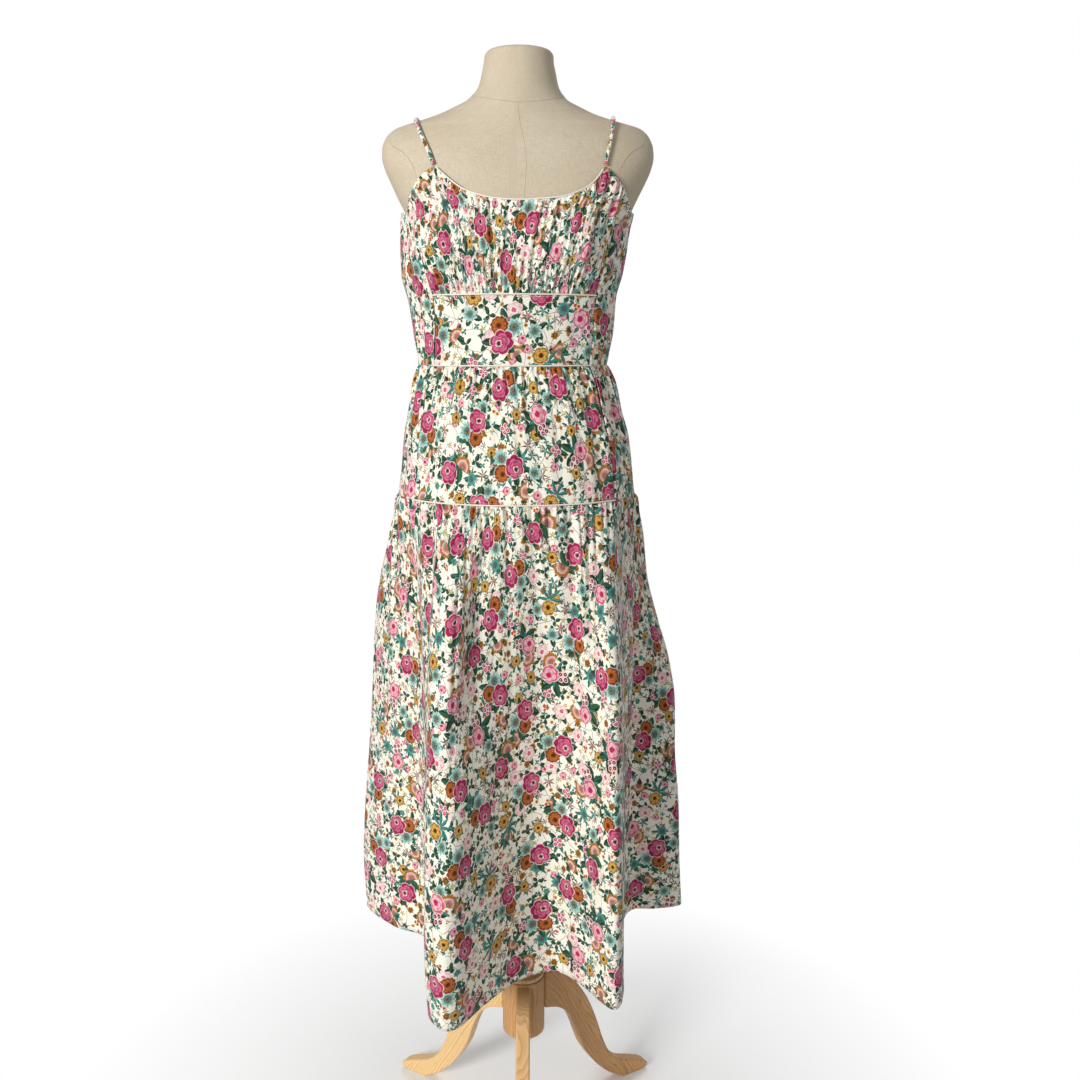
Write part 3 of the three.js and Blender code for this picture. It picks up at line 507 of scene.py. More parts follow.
def keep_out(height, room):
    """Softens hollows so that the cloth never comes nearer to the form than it may."""
    return np.where(height < 0, room * (np.exp(height / room) - 1), height)


def creases(table, turn, z, width_per_turn):
    """Troughs and ridges from a listed table, with soft ends."""
    total = np.zeros(turn.shape)
    for top_turn, top_z, low_turn, low_z, left, right, high in table:
        down = (top_z - z) / (top_z - low_z)
        inside = np.clip(down, 0, 1)
        gap = (turn - mix(top_turn, low_turn, inside)) * width_per_turn
        side = np.where(gap < 0, left, right) * (0.7 + 0.6 * inside)
        ends = np.exp(-((down - inside) / 0.08) ** 2) * (0.35 + 0.65 * np.sin(math.pi * inside) ** 0.6)
        total += high * ends * np.exp(-((gap / side) ** 2))
    return total


def ripples(across, up, wide, tall, seed):
    """Soft unevenness from -1 to 1 on cells of a width and a height."""
    grid = np.random.default_rng(seed).uniform(-1, 1, (64, 64))
    x, y = np.broadcast_arrays(across / wide + 31.7, up / tall + 17.3)
    i, j = np.floor(x).astype(int), np.floor(y).astype(int)
    s, t = x - i, y - j
    s, t = s * s * (3 - 2 * s), t * t * (3 - 2 * t)
    low = mix(grid[i % 64, j % 64], grid[(i + 1) % 64, j % 64], s)
    high = mix(grid[i % 64, (j + 1) % 64], grid[(i + 1) % 64, (j + 1) % 64], s)
    return mix(low, high, t)


def held_at(away, reach):
    """Share of its own shape that the cloth keeps at a distance from a seam that holds it flat."""
    return 1 - np.exp(-away / reach)


def seam_dip(across, length, deep=1.0, wide=2.2):
    """How the cloth is drawn in along its two side seams."""
    return -deep * (np.exp(-(across / wide) ** 2) + np.exp(-((length - across) / wide) ** 2))


# Meshes

def place_in_frame(points):
    """Millimetres about the pole's axis to metres in the shared frame."""
    placed = np.asarray(points, float) * MM
    placed[..., 0] += AXIS.x
    placed[..., 1] += AXIS.y
    return placed


def link(piece):
    bpy.context.scene.collection.objects.link(piece)
    return piece


def new_mesh(name, points, faces, edges=()):
    mesh = bpy.data.meshes.new(name)
    mesh.from_pydata([tuple(p) for p in points], list(edges), faces)
    mesh.validate()
    mesh.update()
    return mesh


def shade_smooth(mesh):
    mesh.polygons.foreach_set("use_smooth", [True] * len(mesh.polygons))


def grid_faces(rows, columns, closed=False):
    last = columns if closed else columns - 1
    faces = []
    for r in range(rows - 1):
        for c in range(last):
            right = (c + 1) % columns
            faces.append((r * columns + c, r * columns + right,
                          (r + 1) * columns + right, (r + 1) * columns + c))
    return faces


def set_cut_map(mesh, values):
    """Writes a flat place for each vertex as a UV map."""
    layer = mesh.uv_layers.new(name=CUT_MAP)
    corners = np.zeros(len(mesh.loops), int)
    mesh.loops.foreach_get("vertex_index", corners)
    layer.data.foreach_set("uv", values[corners].ravel())


def finish_piece(piece, node):
    """The piece stands for a CAD node, which is hidden, and rides with the object."""
    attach(piece, "root")
    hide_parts(node)


def sew_panel(name, turn, z, surface, height, full, print_at, thickness):
    """A cloth panel as a thin shell, with its flat cut in centimetres as its UV map."""
    smooth = surface(turn, z)
    points = smooth + level_out(smooth) * height[..., None]
    widths = path_lengths(points, 1)
    across = widths[np.argmax(widths[:, -1])] * full
    up = path_lengths(smooth, 0)
    cut = np.stack([np.broadcast_to(across, up.shape), up], -1) * MM / CM + np.array(print_at)
    rows, columns = turn.shape
    mesh = new_mesh(name, place_in_frame(points).reshape(-1, 3), grid_faces(rows, columns))
    set_cut_map(mesh, cut.reshape(-1, 2))
    shade_smooth(mesh)
    mesh.materials.append(materials["cotton"])
    mesh.materials.append(materials["cotton_wrong_side"])
    piece = link(bpy.data.objects.new(name, mesh))
    shell = piece.modifiers.new("Cloth", "SOLIDIFY")
    shell.thickness = thickness
    shell.offset = -1
    shell.material_offset = 1
    return piece


def turned_piece(name, profile, sides, material):
    """A turned wooden piece from its half outline of radius and height."""
    points = []
    rings = [row for row in profile if row[0] > 0]
    for out, z in rings:
        for c in range(sides):
            angle = 2 * math.pi * c / sides
            points.append((out * math.cos(angle), out * math.sin(angle), z))
    faces = grid_faces(len(rings), sides, closed=True)
    top = (len(rings) - 1) * sides
    faces.append(tuple(reversed(range(sides))))
    faces.append(tuple(top + c for c in range(sides)))
    points = np.array(points)
    mesh = new_mesh(name, place_in_frame(points), faces)
    shade_smooth(mesh)
    set_grain(mesh, points[:, [2, 0, 1]])
    mesh.materials.append(material)
    mesh.set_sharp_from_angle(angle=math.radians(35))
    return link(bpy.data.objects.new(name, mesh))


def set_grain(mesh, values):
    """Writes each vertex's place in its own board, with the grain along X, in centimetres."""
    layer = mesh.attributes.new(GRAIN, "FLOAT_VECTOR", "POINT")
    layer.data.foreach_set("vector", (np.asarray(values, float) * MM / CM).ravel())


def smooth_path(rows, steps):
    """A smooth line through points, with a number of steps between each two."""
    rows = np.asarray(rows, float)
    ends = np.concatenate([2 * rows[:1] - rows[1:2], rows, 2 * rows[-1:] - rows[-2:-1]])
    found = []
    for i in range(1, len(ends) - 2):
        a, b, c, d = ends[i - 1:i + 3]
        for k in range(steps):
            t = k / steps
            found.append(0.5 * (2 * b + (c - a) * t + (2 * a - 5 * b + 4 * c - d) * t**2
                                + (3 * b - a - 3 * c + d) * t**3))
    found.append(rows[-1])
    return np.array(found)


def form_level(x, y, z):
    left, right, front, back, square = blend_rows(FORM_SECTIONS, np.asarray(z, float))
    across = abs((x - (right - left) / 2) / ((left + right) / 2)) ** square
    return across + abs(y / (front if y < 0 else back)) ** square


def on_form(x, z, side, lift):
    """A point on the form's front (-1) or back (1) at x and z, moved out by a distance."""
    left, right, front, back, square = blend_rows(FORM_SECTIONS, np.asarray(z, float))
    across = min(1, abs((x - (right - left) / 2) / ((left + right) / 2)) ** square)
    y = side * (front if side < 0 else back) * (1 - across) ** (1 / square)
    step = 1.5
    slope = Vector((
        form_level(x + step, y, z) - form_level(x - step, y, z),
        form_level(x, y + step, z) - form_level(x, y - step, z),
        form_level(x, y, z + step) - form_level(x, y, z - step),
    )).normalized()
    return Vector((x, y, z)) + slope * lift


# Node trees

MATH = "ShaderNodeMath"
VECTOR = "ShaderNodeVectorMath"
RANGE = "ShaderNodeMapRange"
MIX = "ShaderNodeMix"
NOISE = "ShaderNodeTexNoise"
# Ranges that need no clamp. Cycles puts off all that follows a clamped one, and it can't hold
# the values of a whole print that waits at once.
SOFT = {"interpolation_type": "SMOOTHSTEP", "clamp": False}


def add(tree, kind, links=None, **settings):
    """Adds a node with its settings. Each input takes a node, a node's output or a value."""
    node = tree.nodes.new(kind)
    for name, value in settings.items():
        setattr(node, name, value)
    for key, value in (links or {}).items():
        if isinstance(value, bpy.types.Node):
            value = value.outputs[0]
        if isinstance(value, bpy.types.NodeSocket):
            tree.links.new(value, node.inputs[key])
        else:
            node.inputs[key].default_value = value
    return node


def new_group(name, kind, inputs, outputs):
    """A node group with its named inputs and outputs, and the nodes that hold them."""
    tree = bpy.data.node_groups.new(name, kind)
    for socket, socket_type in inputs.items():
        tree.interface.new_socket(socket, in_out="INPUT", socket_type=socket_type)
    for socket, socket_type in outputs.items():
        tree.interface.new_socket(socket, in_out="OUTPUT", socket_type=socket_type)
    return tree, tree.nodes.new("NodeGroupInput").outputs, tree.nodes.new("NodeGroupOutput").inputs


def colour_mix(links):
    """The inputs of a colour Mix node by plain names."""
    names = {"share": 0, "below": 6, "above": 7}
    return {names[key]: value for key, value in links.items()}


FLOAT, COLOUR, VEC = "NodeSocketFloat", "NodeSocketColor", "NodeSocketVector"


def motif_place_group():
    """Scatters turned places over the cloth: each point gets its offset from the nearest one."""
    tree, inputs, outputs = new_group(
        "Motif Place", "ShaderNodeTree",
        {"Cloth": VEC, "Spacing": FLOAT, "Shift": VEC, "Slant": FLOAT, "Unevenness": FLOAT},
        {"Offset": VEC, "Pick": FLOAT},
    )
    moved = add(tree, VECTOR, {0: inputs["Cloth"], 1: inputs["Shift"]}, operation="ADD")
    slanted = add(tree, "ShaderNodeVectorRotate", {"Vector": moved, "Angle": inputs["Slant"]},
                  rotation_type="Z_AXIS")
    scale = add(tree, MATH, {0: 1.0, 1: inputs["Spacing"]}, operation="DIVIDE")
    cells = add(tree, "ShaderNodeTexVoronoi",
                {"Vector": slanted, "Scale": scale, "Randomness": inputs["Unevenness"]},
                voronoi_dimensions="2D")
    offset = add(tree, VECTOR, {0: slanted, 1: cells.outputs["Position"]}, operation="SUBTRACT")
    chance = add(tree, "ShaderNodeSeparateColor", {0: cells.outputs["Color"]})
    angle = add(tree, MATH, {0: chance.outputs[0], 1: 2 * math.pi}, operation="MULTIPLY")
    turned = add(tree, "ShaderNodeVectorRotate", {"Vector": offset, "Angle": angle},
                 rotation_type="Z_AXIS")
    tree.links.new(turned.outputs[0], outputs["Offset"])
    tree.links.new(chance.outputs[1], outputs["Pick"])
    return tree


def sector_group():
    """Repeats the space round a centre, once for each leaf or berry."""
    tree, inputs, outputs = new_group(
        "Sector", "ShaderNodeTree", {"Offset": VEC, "Count": FLOAT},
        {"Along": FLOAT, "Beside": FLOAT},
    )
    far = add(tree, VECTOR, {0: inputs["Offset"]}, operation="LENGTH").outputs["Value"]
    parts = add(tree, "ShaderNodeSeparateXYZ", {0: inputs["Offset"]})
    angle = add(tree, MATH, {0: parts.outputs["Y"], 1: parts.outputs["X"]}, operation="ARCTAN2")
    sector = add(tree, MATH, {0: 2 * math.pi, 1: inputs["Count"]}, operation="DIVIDE")
    steps = add(tree, MATH, {0: angle, 1: sector}, operation="DIVIDE")
    steps = add(tree, MATH, {0: steps, 1: 0.5}, operation="ADD")
    part = add(tree, MATH, {0: steps}, operation="FRACT")
    part = add(tree, MATH, {0: part, 1: 0.5}, operation="SUBTRACT")
    aside = add(tree, MATH, {0: part, 1: sector}, operation="MULTIPLY")
    cosine = add(tree, MATH, {0: aside}, operation="COSINE")
    sine = add(tree, MATH, {0: aside}, operation="SINE")
    along = add(tree, MATH, {0: cosine, 1: far}, operation="MULTIPLY")
    beside = add(tree, MATH, {0: sine, 1: far}, operation="MULTIPLY")
    tree.links.new(along.outputs[0], outputs["Along"])
    tree.links.new(beside.outputs[0], outputs["Beside"])
    return tree


def petal_ring_group():
    """One ring of petals, dark at their bases and gaps and light at their rims."""
    tree, inputs, outputs = new_group(
        "Petal Ring", "ShaderNodeTree",
        {"Below": COLOUR, "Offset": VEC, "Show": FLOAT, "Stroke": FLOAT, "Radius": FLOAT,
         "Petals": FLOAT, "Turn": FLOAT, "Cut": FLOAT, "Dark": COLOUR, "Light": COLOUR},
        {"Colour": COLOUR},
    )
    far = add(tree, VECTOR, {0: inputs["Offset"]}, operation="LENGTH").outputs["Value"]
    parts = add(tree, "ShaderNodeSeparateXYZ", {0: inputs["Offset"]})
    angle = add(tree, MATH, {0: parts.outputs["Y"], 1: parts.outputs["X"]}, operation="ARCTAN2")
    half = add(tree, MATH, {0: inputs["Petals"], 1: 0.5}, operation="MULTIPLY")
    swing = add(tree, MATH, {0: angle, 1: half, 2: inputs["Turn"]}, operation="MULTIPLY_ADD")
    lobe = add(tree, MATH, {0: swing}, operation="COSINE")
    lobe = add(tree, MATH, {0: lobe}, operation="ABSOLUTE")
    full = add(tree, MATH, {0: lobe, 1: 0.55}, operation="POWER")
    least = add(tree, MATH, {0: 1.0, 1: inputs["Cut"]}, operation="SUBTRACT")
    limit = add(tree, MATH, {0: full, 1: inputs["Cut"], 2: least}, operation="MULTIPLY_ADD")
    limit = add(tree, MATH, {0: limit, 1: inputs["Radius"]}, operation="MULTIPLY")
    rim = add(tree, MATH, {0: far, 1: limit}, operation="DIVIDE")
    inside = add(tree, RANGE, {0: rim, 1: 1.05, 2: 0.95}, **SOFT)
    shown = add(tree, MATH, {0: inside, 1: inputs["Show"]}, operation="MULTIPLY")
    tone = add(tree, MATH, {0: rim, 1: 1.8, 2: -2.0}, operation="MULTIPLY_ADD")
    tone = add(tree, MATH, {0: full, 1: 0.5, 2: tone}, operation="MULTIPLY_ADD")
    tone = add(tree, MATH, {0: inputs["Stroke"], 1: 1.5, 2: tone}, operation="MULTIPLY_ADD")
    petal = add(tree, MIX, colour_mix({"share": tone, "below": inputs["Dark"],
                                       "above": inputs["Light"]}), data_type="RGBA")
    over = add(tree, MIX, colour_mix({"share": shown, "below": inputs["Below"],
                                      "above": petal.outputs[2]}), data_type="RGBA")
    tree.links.new(over.outputs[2], outputs["Colour"])
    return tree


MOTIF_INPUTS = {"Below": COLOUR, "Offset": VEC, "Show": FLOAT, "Stroke": FLOAT, "Size": FLOAT}


def add_ring(tree, ring, inputs, below, offset, show, share, settings):
    """Adds one ring of petals whose radius is a share of the motif's size."""
    radius = add(tree, MATH, {0: inputs["Size"], 1: share}, operation="MULTIPLY")
    links = {"Below": below, "Offset": offset, "Show": show, "Stroke": inputs["Stroke"],
             "Radius": radius, **settings}
    return add(tree, "ShaderNodeGroup", links, node_tree=ring).outputs["Colour"]


def bloom_group(ring):
    """A full rose or other round bloom: four rings of petals, set ever further off the centre."""
    tree, inputs, outputs = new_group(
        "Bloom", "ShaderNodeTree",
        {**MOTIF_INPUTS, "Petals": FLOAT, "Cut": FLOAT, "Lean": FLOAT, "Dark": COLOUR,
         "Middle": COLOUR, "Light": COLOUR, "Heart": COLOUR},
        {"Colour": COLOUR},
    )
    # Share of the size, extra turn, shift of the centre, share of the petals, and the two
    # colours. The first ring is a pale outline.
    rings = [
        (1.05, 0.0, 0.0, 1.0, "Ivory", "Ivory"), (1.0, 0.0, 0.0, 1.0, "Dark", "Middle"),
        (0.76, 1.1, 0.1, 0.8, "Dark", "Light"), (0.54, 0.3, 0.2, 0.8, "Middle", "Light"),
        (0.3, 2.0, 0.27, 0.6, "Dark", "Heart"),
    ]
    colour = inputs["Below"]
    for share, turn, shift, fewer, dark, light in rings:
        away = add(tree, MATH, {0: inputs["Lean"], 1: shift}, operation="MULTIPLY")
        away = add(tree, MATH, {0: away, 1: inputs["Size"]}, operation="MULTIPLY")
        centre = add(tree, "ShaderNodeCombineXYZ", {1: away})
        offset = add(tree, VECTOR, {0: inputs["Offset"], 1: centre}, operation="SUBTRACT")
        count = add(tree, MATH, {0: inputs["Petals"], 1: fewer}, operation="MULTIPLY")
        count = add(tree, MATH, {0: count}, operation="ROUND")
        pair = [rgba(PRINT["ivory"]) if name == "Ivory" else inputs[name] for name in (dark, light)]
        colour = add_ring(tree, ring, inputs, colour, offset, inputs["Show"], share, {
            "Petals": count, "Turn": turn, "Cut": inputs["Cut"], "Dark": pair[0],
            "Light": pair[1]})
    tree.links.new(colour, outputs["Colour"])
    return tree


def daisy_group(ring):
    """An open flower: two rings of long petals and a heart."""
    tree, inputs, outputs = new_group(
        "Daisy", "ShaderNodeTree",
        {**MOTIF_INPUTS, "Petals": FLOAT, "Cut": FLOAT, "Dark": COLOUR, "Light": COLOUR,
         "Heart": COLOUR},
        {"Colour": COLOUR},
    )
    colour = inputs["Below"]
    for share, turn, cut, dark, light in (
            (1.0, 0.0, inputs["Cut"], "Dark", "Light"), (0.8, 1.4, inputs["Cut"], "Dark", "Light"),
            (0.27, 0.0, 0.1, "Dark", "Heart")):
        colour = add_ring(tree, ring, inputs, colour, inputs["Offset"], inputs["Show"], share, {
            "Petals": inputs["Petals"], "Turn": turn, "Cut": cut, "Dark": inputs[dark],
            "Light": inputs[light]})
    tree.links.new(colour, outputs["Colour"])
    return tree


def fan_group(ring):
    """A half-open blossom: a scalloped rim round a pale striped bowl, on one side only."""
    tree, inputs, outputs = new_group(
        "Fan", "ShaderNodeTree",
        {**MOTIF_INPUTS, "Petals": FLOAT, "Dark": COLOUR, "Light": COLOUR, "Bowl": COLOUR,
         "Stripe": COLOUR},
        {"Colour": COLOUR},
    )
    parts = add(tree, "ShaderNodeSeparateXYZ", {0: inputs["Offset"]})
    side = add(tree, MATH, {0: parts.outputs["X"], 1: inputs["Size"]}, operation="DIVIDE")
    front = add(tree, RANGE, {0: side, 1: -0.2, 2: -0.12}, **SOFT)
    show = add(tree, MATH, {0: front, 1: inputs["Show"]}, operation="MULTIPLY").outputs[0]
    colour = inputs["Below"]
    for share, times, cut, dark, light in (
            (1.0, 1.0, 0.16, "Dark", "Light"), (0.7, 2.0, 0.2, "Stripe", "Bowl"),
            (0.22, 1.0, 0.1, "Stripe", "Dark")):
        count = add(tree, MATH, {0: inputs["Petals"], 1: times}, operation="MULTIPLY")
        colour = add_ring(tree, ring, inputs, colour, inputs["Offset"], show, share, {
            "Petals": count, "Turn": 0.0, "Cut": cut, "Dark": inputs[dark],
            "Light": inputs[light]})
    tree.links.new(colour, outputs["Colour"])
    return tree


def leaf_group(sector):
    """A spray of pointed leaves with a lit half and pale veins."""
    tree, inputs, outputs = new_group(
        "Leaves", "ShaderNodeTree",
        {**MOTIF_INPUTS, "Width": FLOAT, "Leaves": FLOAT, "Dark": COLOUR, "Light": COLOUR},
        {"Colour": COLOUR},
    )
    place = add(tree, "ShaderNodeGroup", {"Offset": inputs["Offset"], "Count": inputs["Leaves"]},
                node_tree=sector)
    along, beside = place.outputs["Along"], place.outputs["Beside"]
    far = add(tree, MATH, {0: along, 1: inputs["Size"]}, operation="DIVIDE")
    left = add(tree, MATH, {0: 1.0, 1: far}, operation="SUBTRACT")
    bulge = add(tree, MATH, {0: far, 1: left}, operation="MULTIPLY")
    bulge = add(tree, MATH, {0: bulge, 1: 0.0}, operation="MAXIMUM")
    bulge = add(tree, MATH, {0: bulge, 1: 0.8}, operation="POWER")
    half = add(tree, MATH, {0: bulge, 1: inputs["Width"]}, operation="MULTIPLY")
    aside = add(tree, MATH, {0: beside}, operation="ABSOLUTE")
    inward = add(tree, MATH, {0: half, 1: aside}, operation="SUBTRACT")
    inside = add(tree, RANGE, {0: inward, 1: 0.005, 2: 0.03}, **SOFT)
    shown = add(tree, MATH, {0: inside, 1: inputs["Show"]}, operation="MULTIPLY")
    lit = add(tree, RANGE, {0: beside, 1: -0.02, 2: 0.02, 3: 0.0, 4: 0.4}, **SOFT)
    rib = add(tree, RANGE, {0: aside, 1: 0.035, 2: 0.015, 3: 0.0, 4: 0.8}, **SOFT)
    slant = add(tree, MATH, {0: along, 1: aside}, operation="SUBTRACT")
    vein = add(tree, MATH, {0: slant, 1: 38.0}, operation="MULTIPLY")
    vein = add(tree, MATH, {0: vein}, operation="SINE")
    vein = add(tree, RANGE, {0: vein, 1: 0.5, 2: 1.0, 3: 0.0, 4: 0.3}, **SOFT)
    light = add(tree, MATH, {0: lit, 1: vein}, operation="ADD")
    light = add(tree, MATH, {0: light, 1: rib}, operation="MAXIMUM")
    light = add(tree, MATH, {0: inputs["Stroke"], 1: 0.6, 2: light}, operation="MULTIPLY_ADD")
    light = add(tree, MATH, {0: light, 1: 0.42}, operation="SUBTRACT")
    leaf = add(tree, MIX, colour_mix({"share": light, "below": inputs["Dark"],
                                      "above": inputs["Light"]}), data_type="RGBA")
    over = add(tree, MIX, colour_mix({"share": shown, "below": inputs["Below"],
                                      "above": leaf.outputs[2]}), data_type="RGBA")
    tree.links.new(over.outputs[2], outputs["Colour"])
    return tree


def berry_group(sector):
    """Small round buds in a cluster, each with a ring and a pale eye."""
    tree, inputs, outputs = new_group(
        "Berries", "ShaderNodeTree",
        {**MOTIF_INPUTS, "Berries": FLOAT, "Dark": COLOUR, "Light": COLOUR},
        {"Colour": COLOUR},
    )
    place = add(tree, "ShaderNodeGroup", {"Offset": inputs["Offset"], "Count": inputs["Berries"]},
                node_tree=sector)
    middle = add(tree, MATH, {0: inputs["Size"], 1: 0.56}, operation="MULTIPLY")
    along = add(tree, MATH, {0: place.outputs["Along"], 1: middle}, operation="SUBTRACT")
    offset = add(tree, "ShaderNodeCombineXYZ", {0: along, 1: place.outputs["Beside"]})
    far = add(tree, VECTOR, {0: offset}, operation="LENGTH").outputs["Value"]
    radius = add(tree, MATH, {0: inputs["Size"], 1: 0.44}, operation="MULTIPLY")
    rim = add(tree, MATH, {0: far, 1: radius}, operation="DIVIDE")
    inside = add(tree, RANGE, {0: rim, 1: 1.05, 2: 0.9}, **SOFT)
    shown = add(tree, MATH, {0: inside, 1: inputs["Show"]}, operation="MULTIPLY")
    wave = add(tree, MATH, {0: rim, 1: 7.5}, operation="MULTIPLY")
    wave = add(tree, MATH, {0: wave}, operation="COSINE")
    ring = add(tree, RANGE, {0: wave, 1: -0.4, 2: 0.7}, **SOFT)
    bud = add(tree, MIX, colour_mix({"share": ring, "below": inputs["Dark"],
                                     "above": inputs["Light"]}), data_type="RGBA")
    over = add(tree, MIX, colour_mix({"share": shown, "below": inputs["Below"],
                                      "above": bud.outputs[2]}), data_type="RGBA")
    tree.links.new(over.outputs[2], outputs["Colour"])
    return tree


# Print colours
PRINT = {
    "ivory": "#F6F2E1", "blush": "#F3DDD0", "sprig": "#55443A", "dusty": "#AE7361",
    "magenta": "#B41A54", "deep_magenta": "#5E0B2C", "pink": "#D96C88", "rose": "#DB6F92",
    "pale_pink": "#F5CFCB", "mustard": "#B97D1E", "straw": "#E0B858", "rust": "#8F4012",
    "orange": "#C4712A", "brown": "#431B0A", "berry": "#B93D24", "teal": "#17605A",
    "aqua": "#5CA698", "pale_aqua": "#BFE0D4", "leaf": "#184832", "deep_leaf": "#0B2C1E",
    "mid_leaf": "#417D59", "olive": "#7F8C50",
}

# Values that each kind of motif takes after its share of places and its place in the group
MOTIF_VALUES = {
    "bloom": ("Size", "Petals", "Cut", "Lean", "Dark", "Middle", "Light", "Heart"),
    "daisy": ("Size", "Petals", "Cut", "Dark", "Light", "Heart"),
    "fan": ("Size", "Petals", "Dark", "Light", "Bowl", "Stripe"),
    "leaves": ("Size", "Width", "Leaves", "Dark", "Light"),
    "berries": ("Size", "Berries", "Dark", "Light"),
}

# Layers of the print, from the cloth up: spacing, shift and slant, and unevenness. Each motif
# has the share of places it takes (from, to), its place in the group (x, y) in centimetres,
# and its values.
PRINT_LAYERS = [
    (1.2, (3.1, 7.7), 0.4, 0.55, [
        ("leaves", 0.0, 0.22, 0, 0, 0.5, 0.48, 3, "leaf", "mid_leaf"),
        ("leaves", 0.24, 0.32, 0, 0, 0.5, 0.45, 4, "teal", "aqua"),
        ("leaves", 0.32, 0.5, 0, 0, 0.54, 0.34, 5, "olive", "straw"),
        ("leaves", 0.5, 0.66, 0, 0, 0.58, 0.27, 6, "sprig", "dusty"),
        ("berries", 0.66, 0.74, 0, 0, 0.32, 3, "berry", "straw"),
        ("daisy", 0.74, 0.81, 0, 0, 0.34, 5, 0.4, "magenta", "pale_pink", "straw"),
        ("daisy", 0.81, 0.9, 0, 0, 0.32, 5, 0.4, "rust", "straw", "brown"),
    ]),
    (2.15, (11.3, 2.9), 1.1, 0.45, [
        ("leaves", 0.0, 0.28, 0, 0, 1.0, 0.9, 3, "deep_leaf", "mid_leaf"),
        ("leaves", 0.3, 0.44, 0, 0, 1.0, 0.36, 7, "sprig", "dusty"),
        ("leaves", 0.44, 0.52, 0, 0, 0.9, 0.5, 5, "teal", "aqua"),
        ("daisy", 0.52, 0.58, 0, 0, 0.54, 6, 0.5, "teal", "aqua", "pale_aqua"),
        ("daisy", 0.58, 0.72, 0, 0, 0.58, 7, 0.4, "brown", "mustard", "straw"),
        ("bloom", 0.72, 0.83, 0, 0, 0.64, 5, 0.2, 1, "magenta", "pink", "pale_pink", "magenta"),
        ("berries", 0.83, 0.92, 0, 0, 0.58, 3, "berry", "orange"),
    ]),
    (4.1, (5.9, 19.3), 2.3, 0.36, [
        ("leaves", 0.0, 0.62, 0.3, 0, 1.7, 1.25, 4, "deep_leaf", "mid_leaf"),
        ("leaves", 0.5, 1.0, -0.2, 0.3, 1.65, 0.7, 6, "leaf", "aqua"),
        ("daisy", 0.0, 0.16, 0, 0, 1.1, 9, 0.66, "teal", "pale_aqua", "mustard"),
        ("bloom", 0.16, 0.38, 0, 0, 1.1, 6, 0.24, 0.5, "pink", "pale_pink", "ivory", "magenta"),
        ("fan", 0.38, 0.56, 0, 0, 1.25, 12, "rust", "mustard", "blush", "dusty"),
        ("berries", 0.56, 0.68, 0, 0, 0.9, 4, "magenta", "pale_pink"),
        ("daisy", 0.68, 0.78, 0, 0, 0.95, 7, 0.5, "teal", "aqua", "magenta"),
        ("bloom", 0.78, 0.98, 0, 0, 0.9, 9, 0.2, 0, "brown", "mustard", "straw", "brown"),
    ]),
    (7.6, (23.7, 13.1), 0.7, 0.22, [
        ("leaves", 0.0, 0.75, -0.7, 0.8, 2.6, 1.75, 5, "deep_leaf", "mid_leaf"),
        ("leaves", 0.0, 0.6, 1.2, -0.6, 2.3, 1.5, 5, "leaf", "mid_leaf"),
        ("leaves", 0.6, 1.0, 0.2, 0.2, 2.3, 0.8, 8, "teal", "aqua"),
        ("daisy", 0.0, 0.45, 0.5, -1.4, 1.35, 9, 0.66, "teal", "pale_aqua", "orange"),
        ("bloom", 0.0, 0.45, 1.45, 0.35, 1.25, 11, 0.16, 0.4, "brown", "rust", "orange", "rust"),
        ("bloom", 0.0, 0.6, -0.85, 0.6, 1.65, 6, 0.24, 1, "deep_magenta", "magenta", "rose",
         "ivory"),
        ("fan", 0.45, 0.7, 1.4, -1.0, 1.5, 13, "rust", "mustard", "pale_pink", "dusty"),
        ("bloom", 0.6, 0.85, 0.5, 0.5, 1.4, 6, 0.22, 0.8, "magenta", "pink", "pale_pink", "magenta"),
        ("berries", 0.6, 0.8, -1.3, -0.6, 1.0, 4, "deep_magenta", "pale_pink"),
        ("bloom", 0.8, 1.0, -0.8, -0.6, 1.2, 7, 0.2, 0.2, "brown", "mustard", "straw", "rust"),
    ]),
]


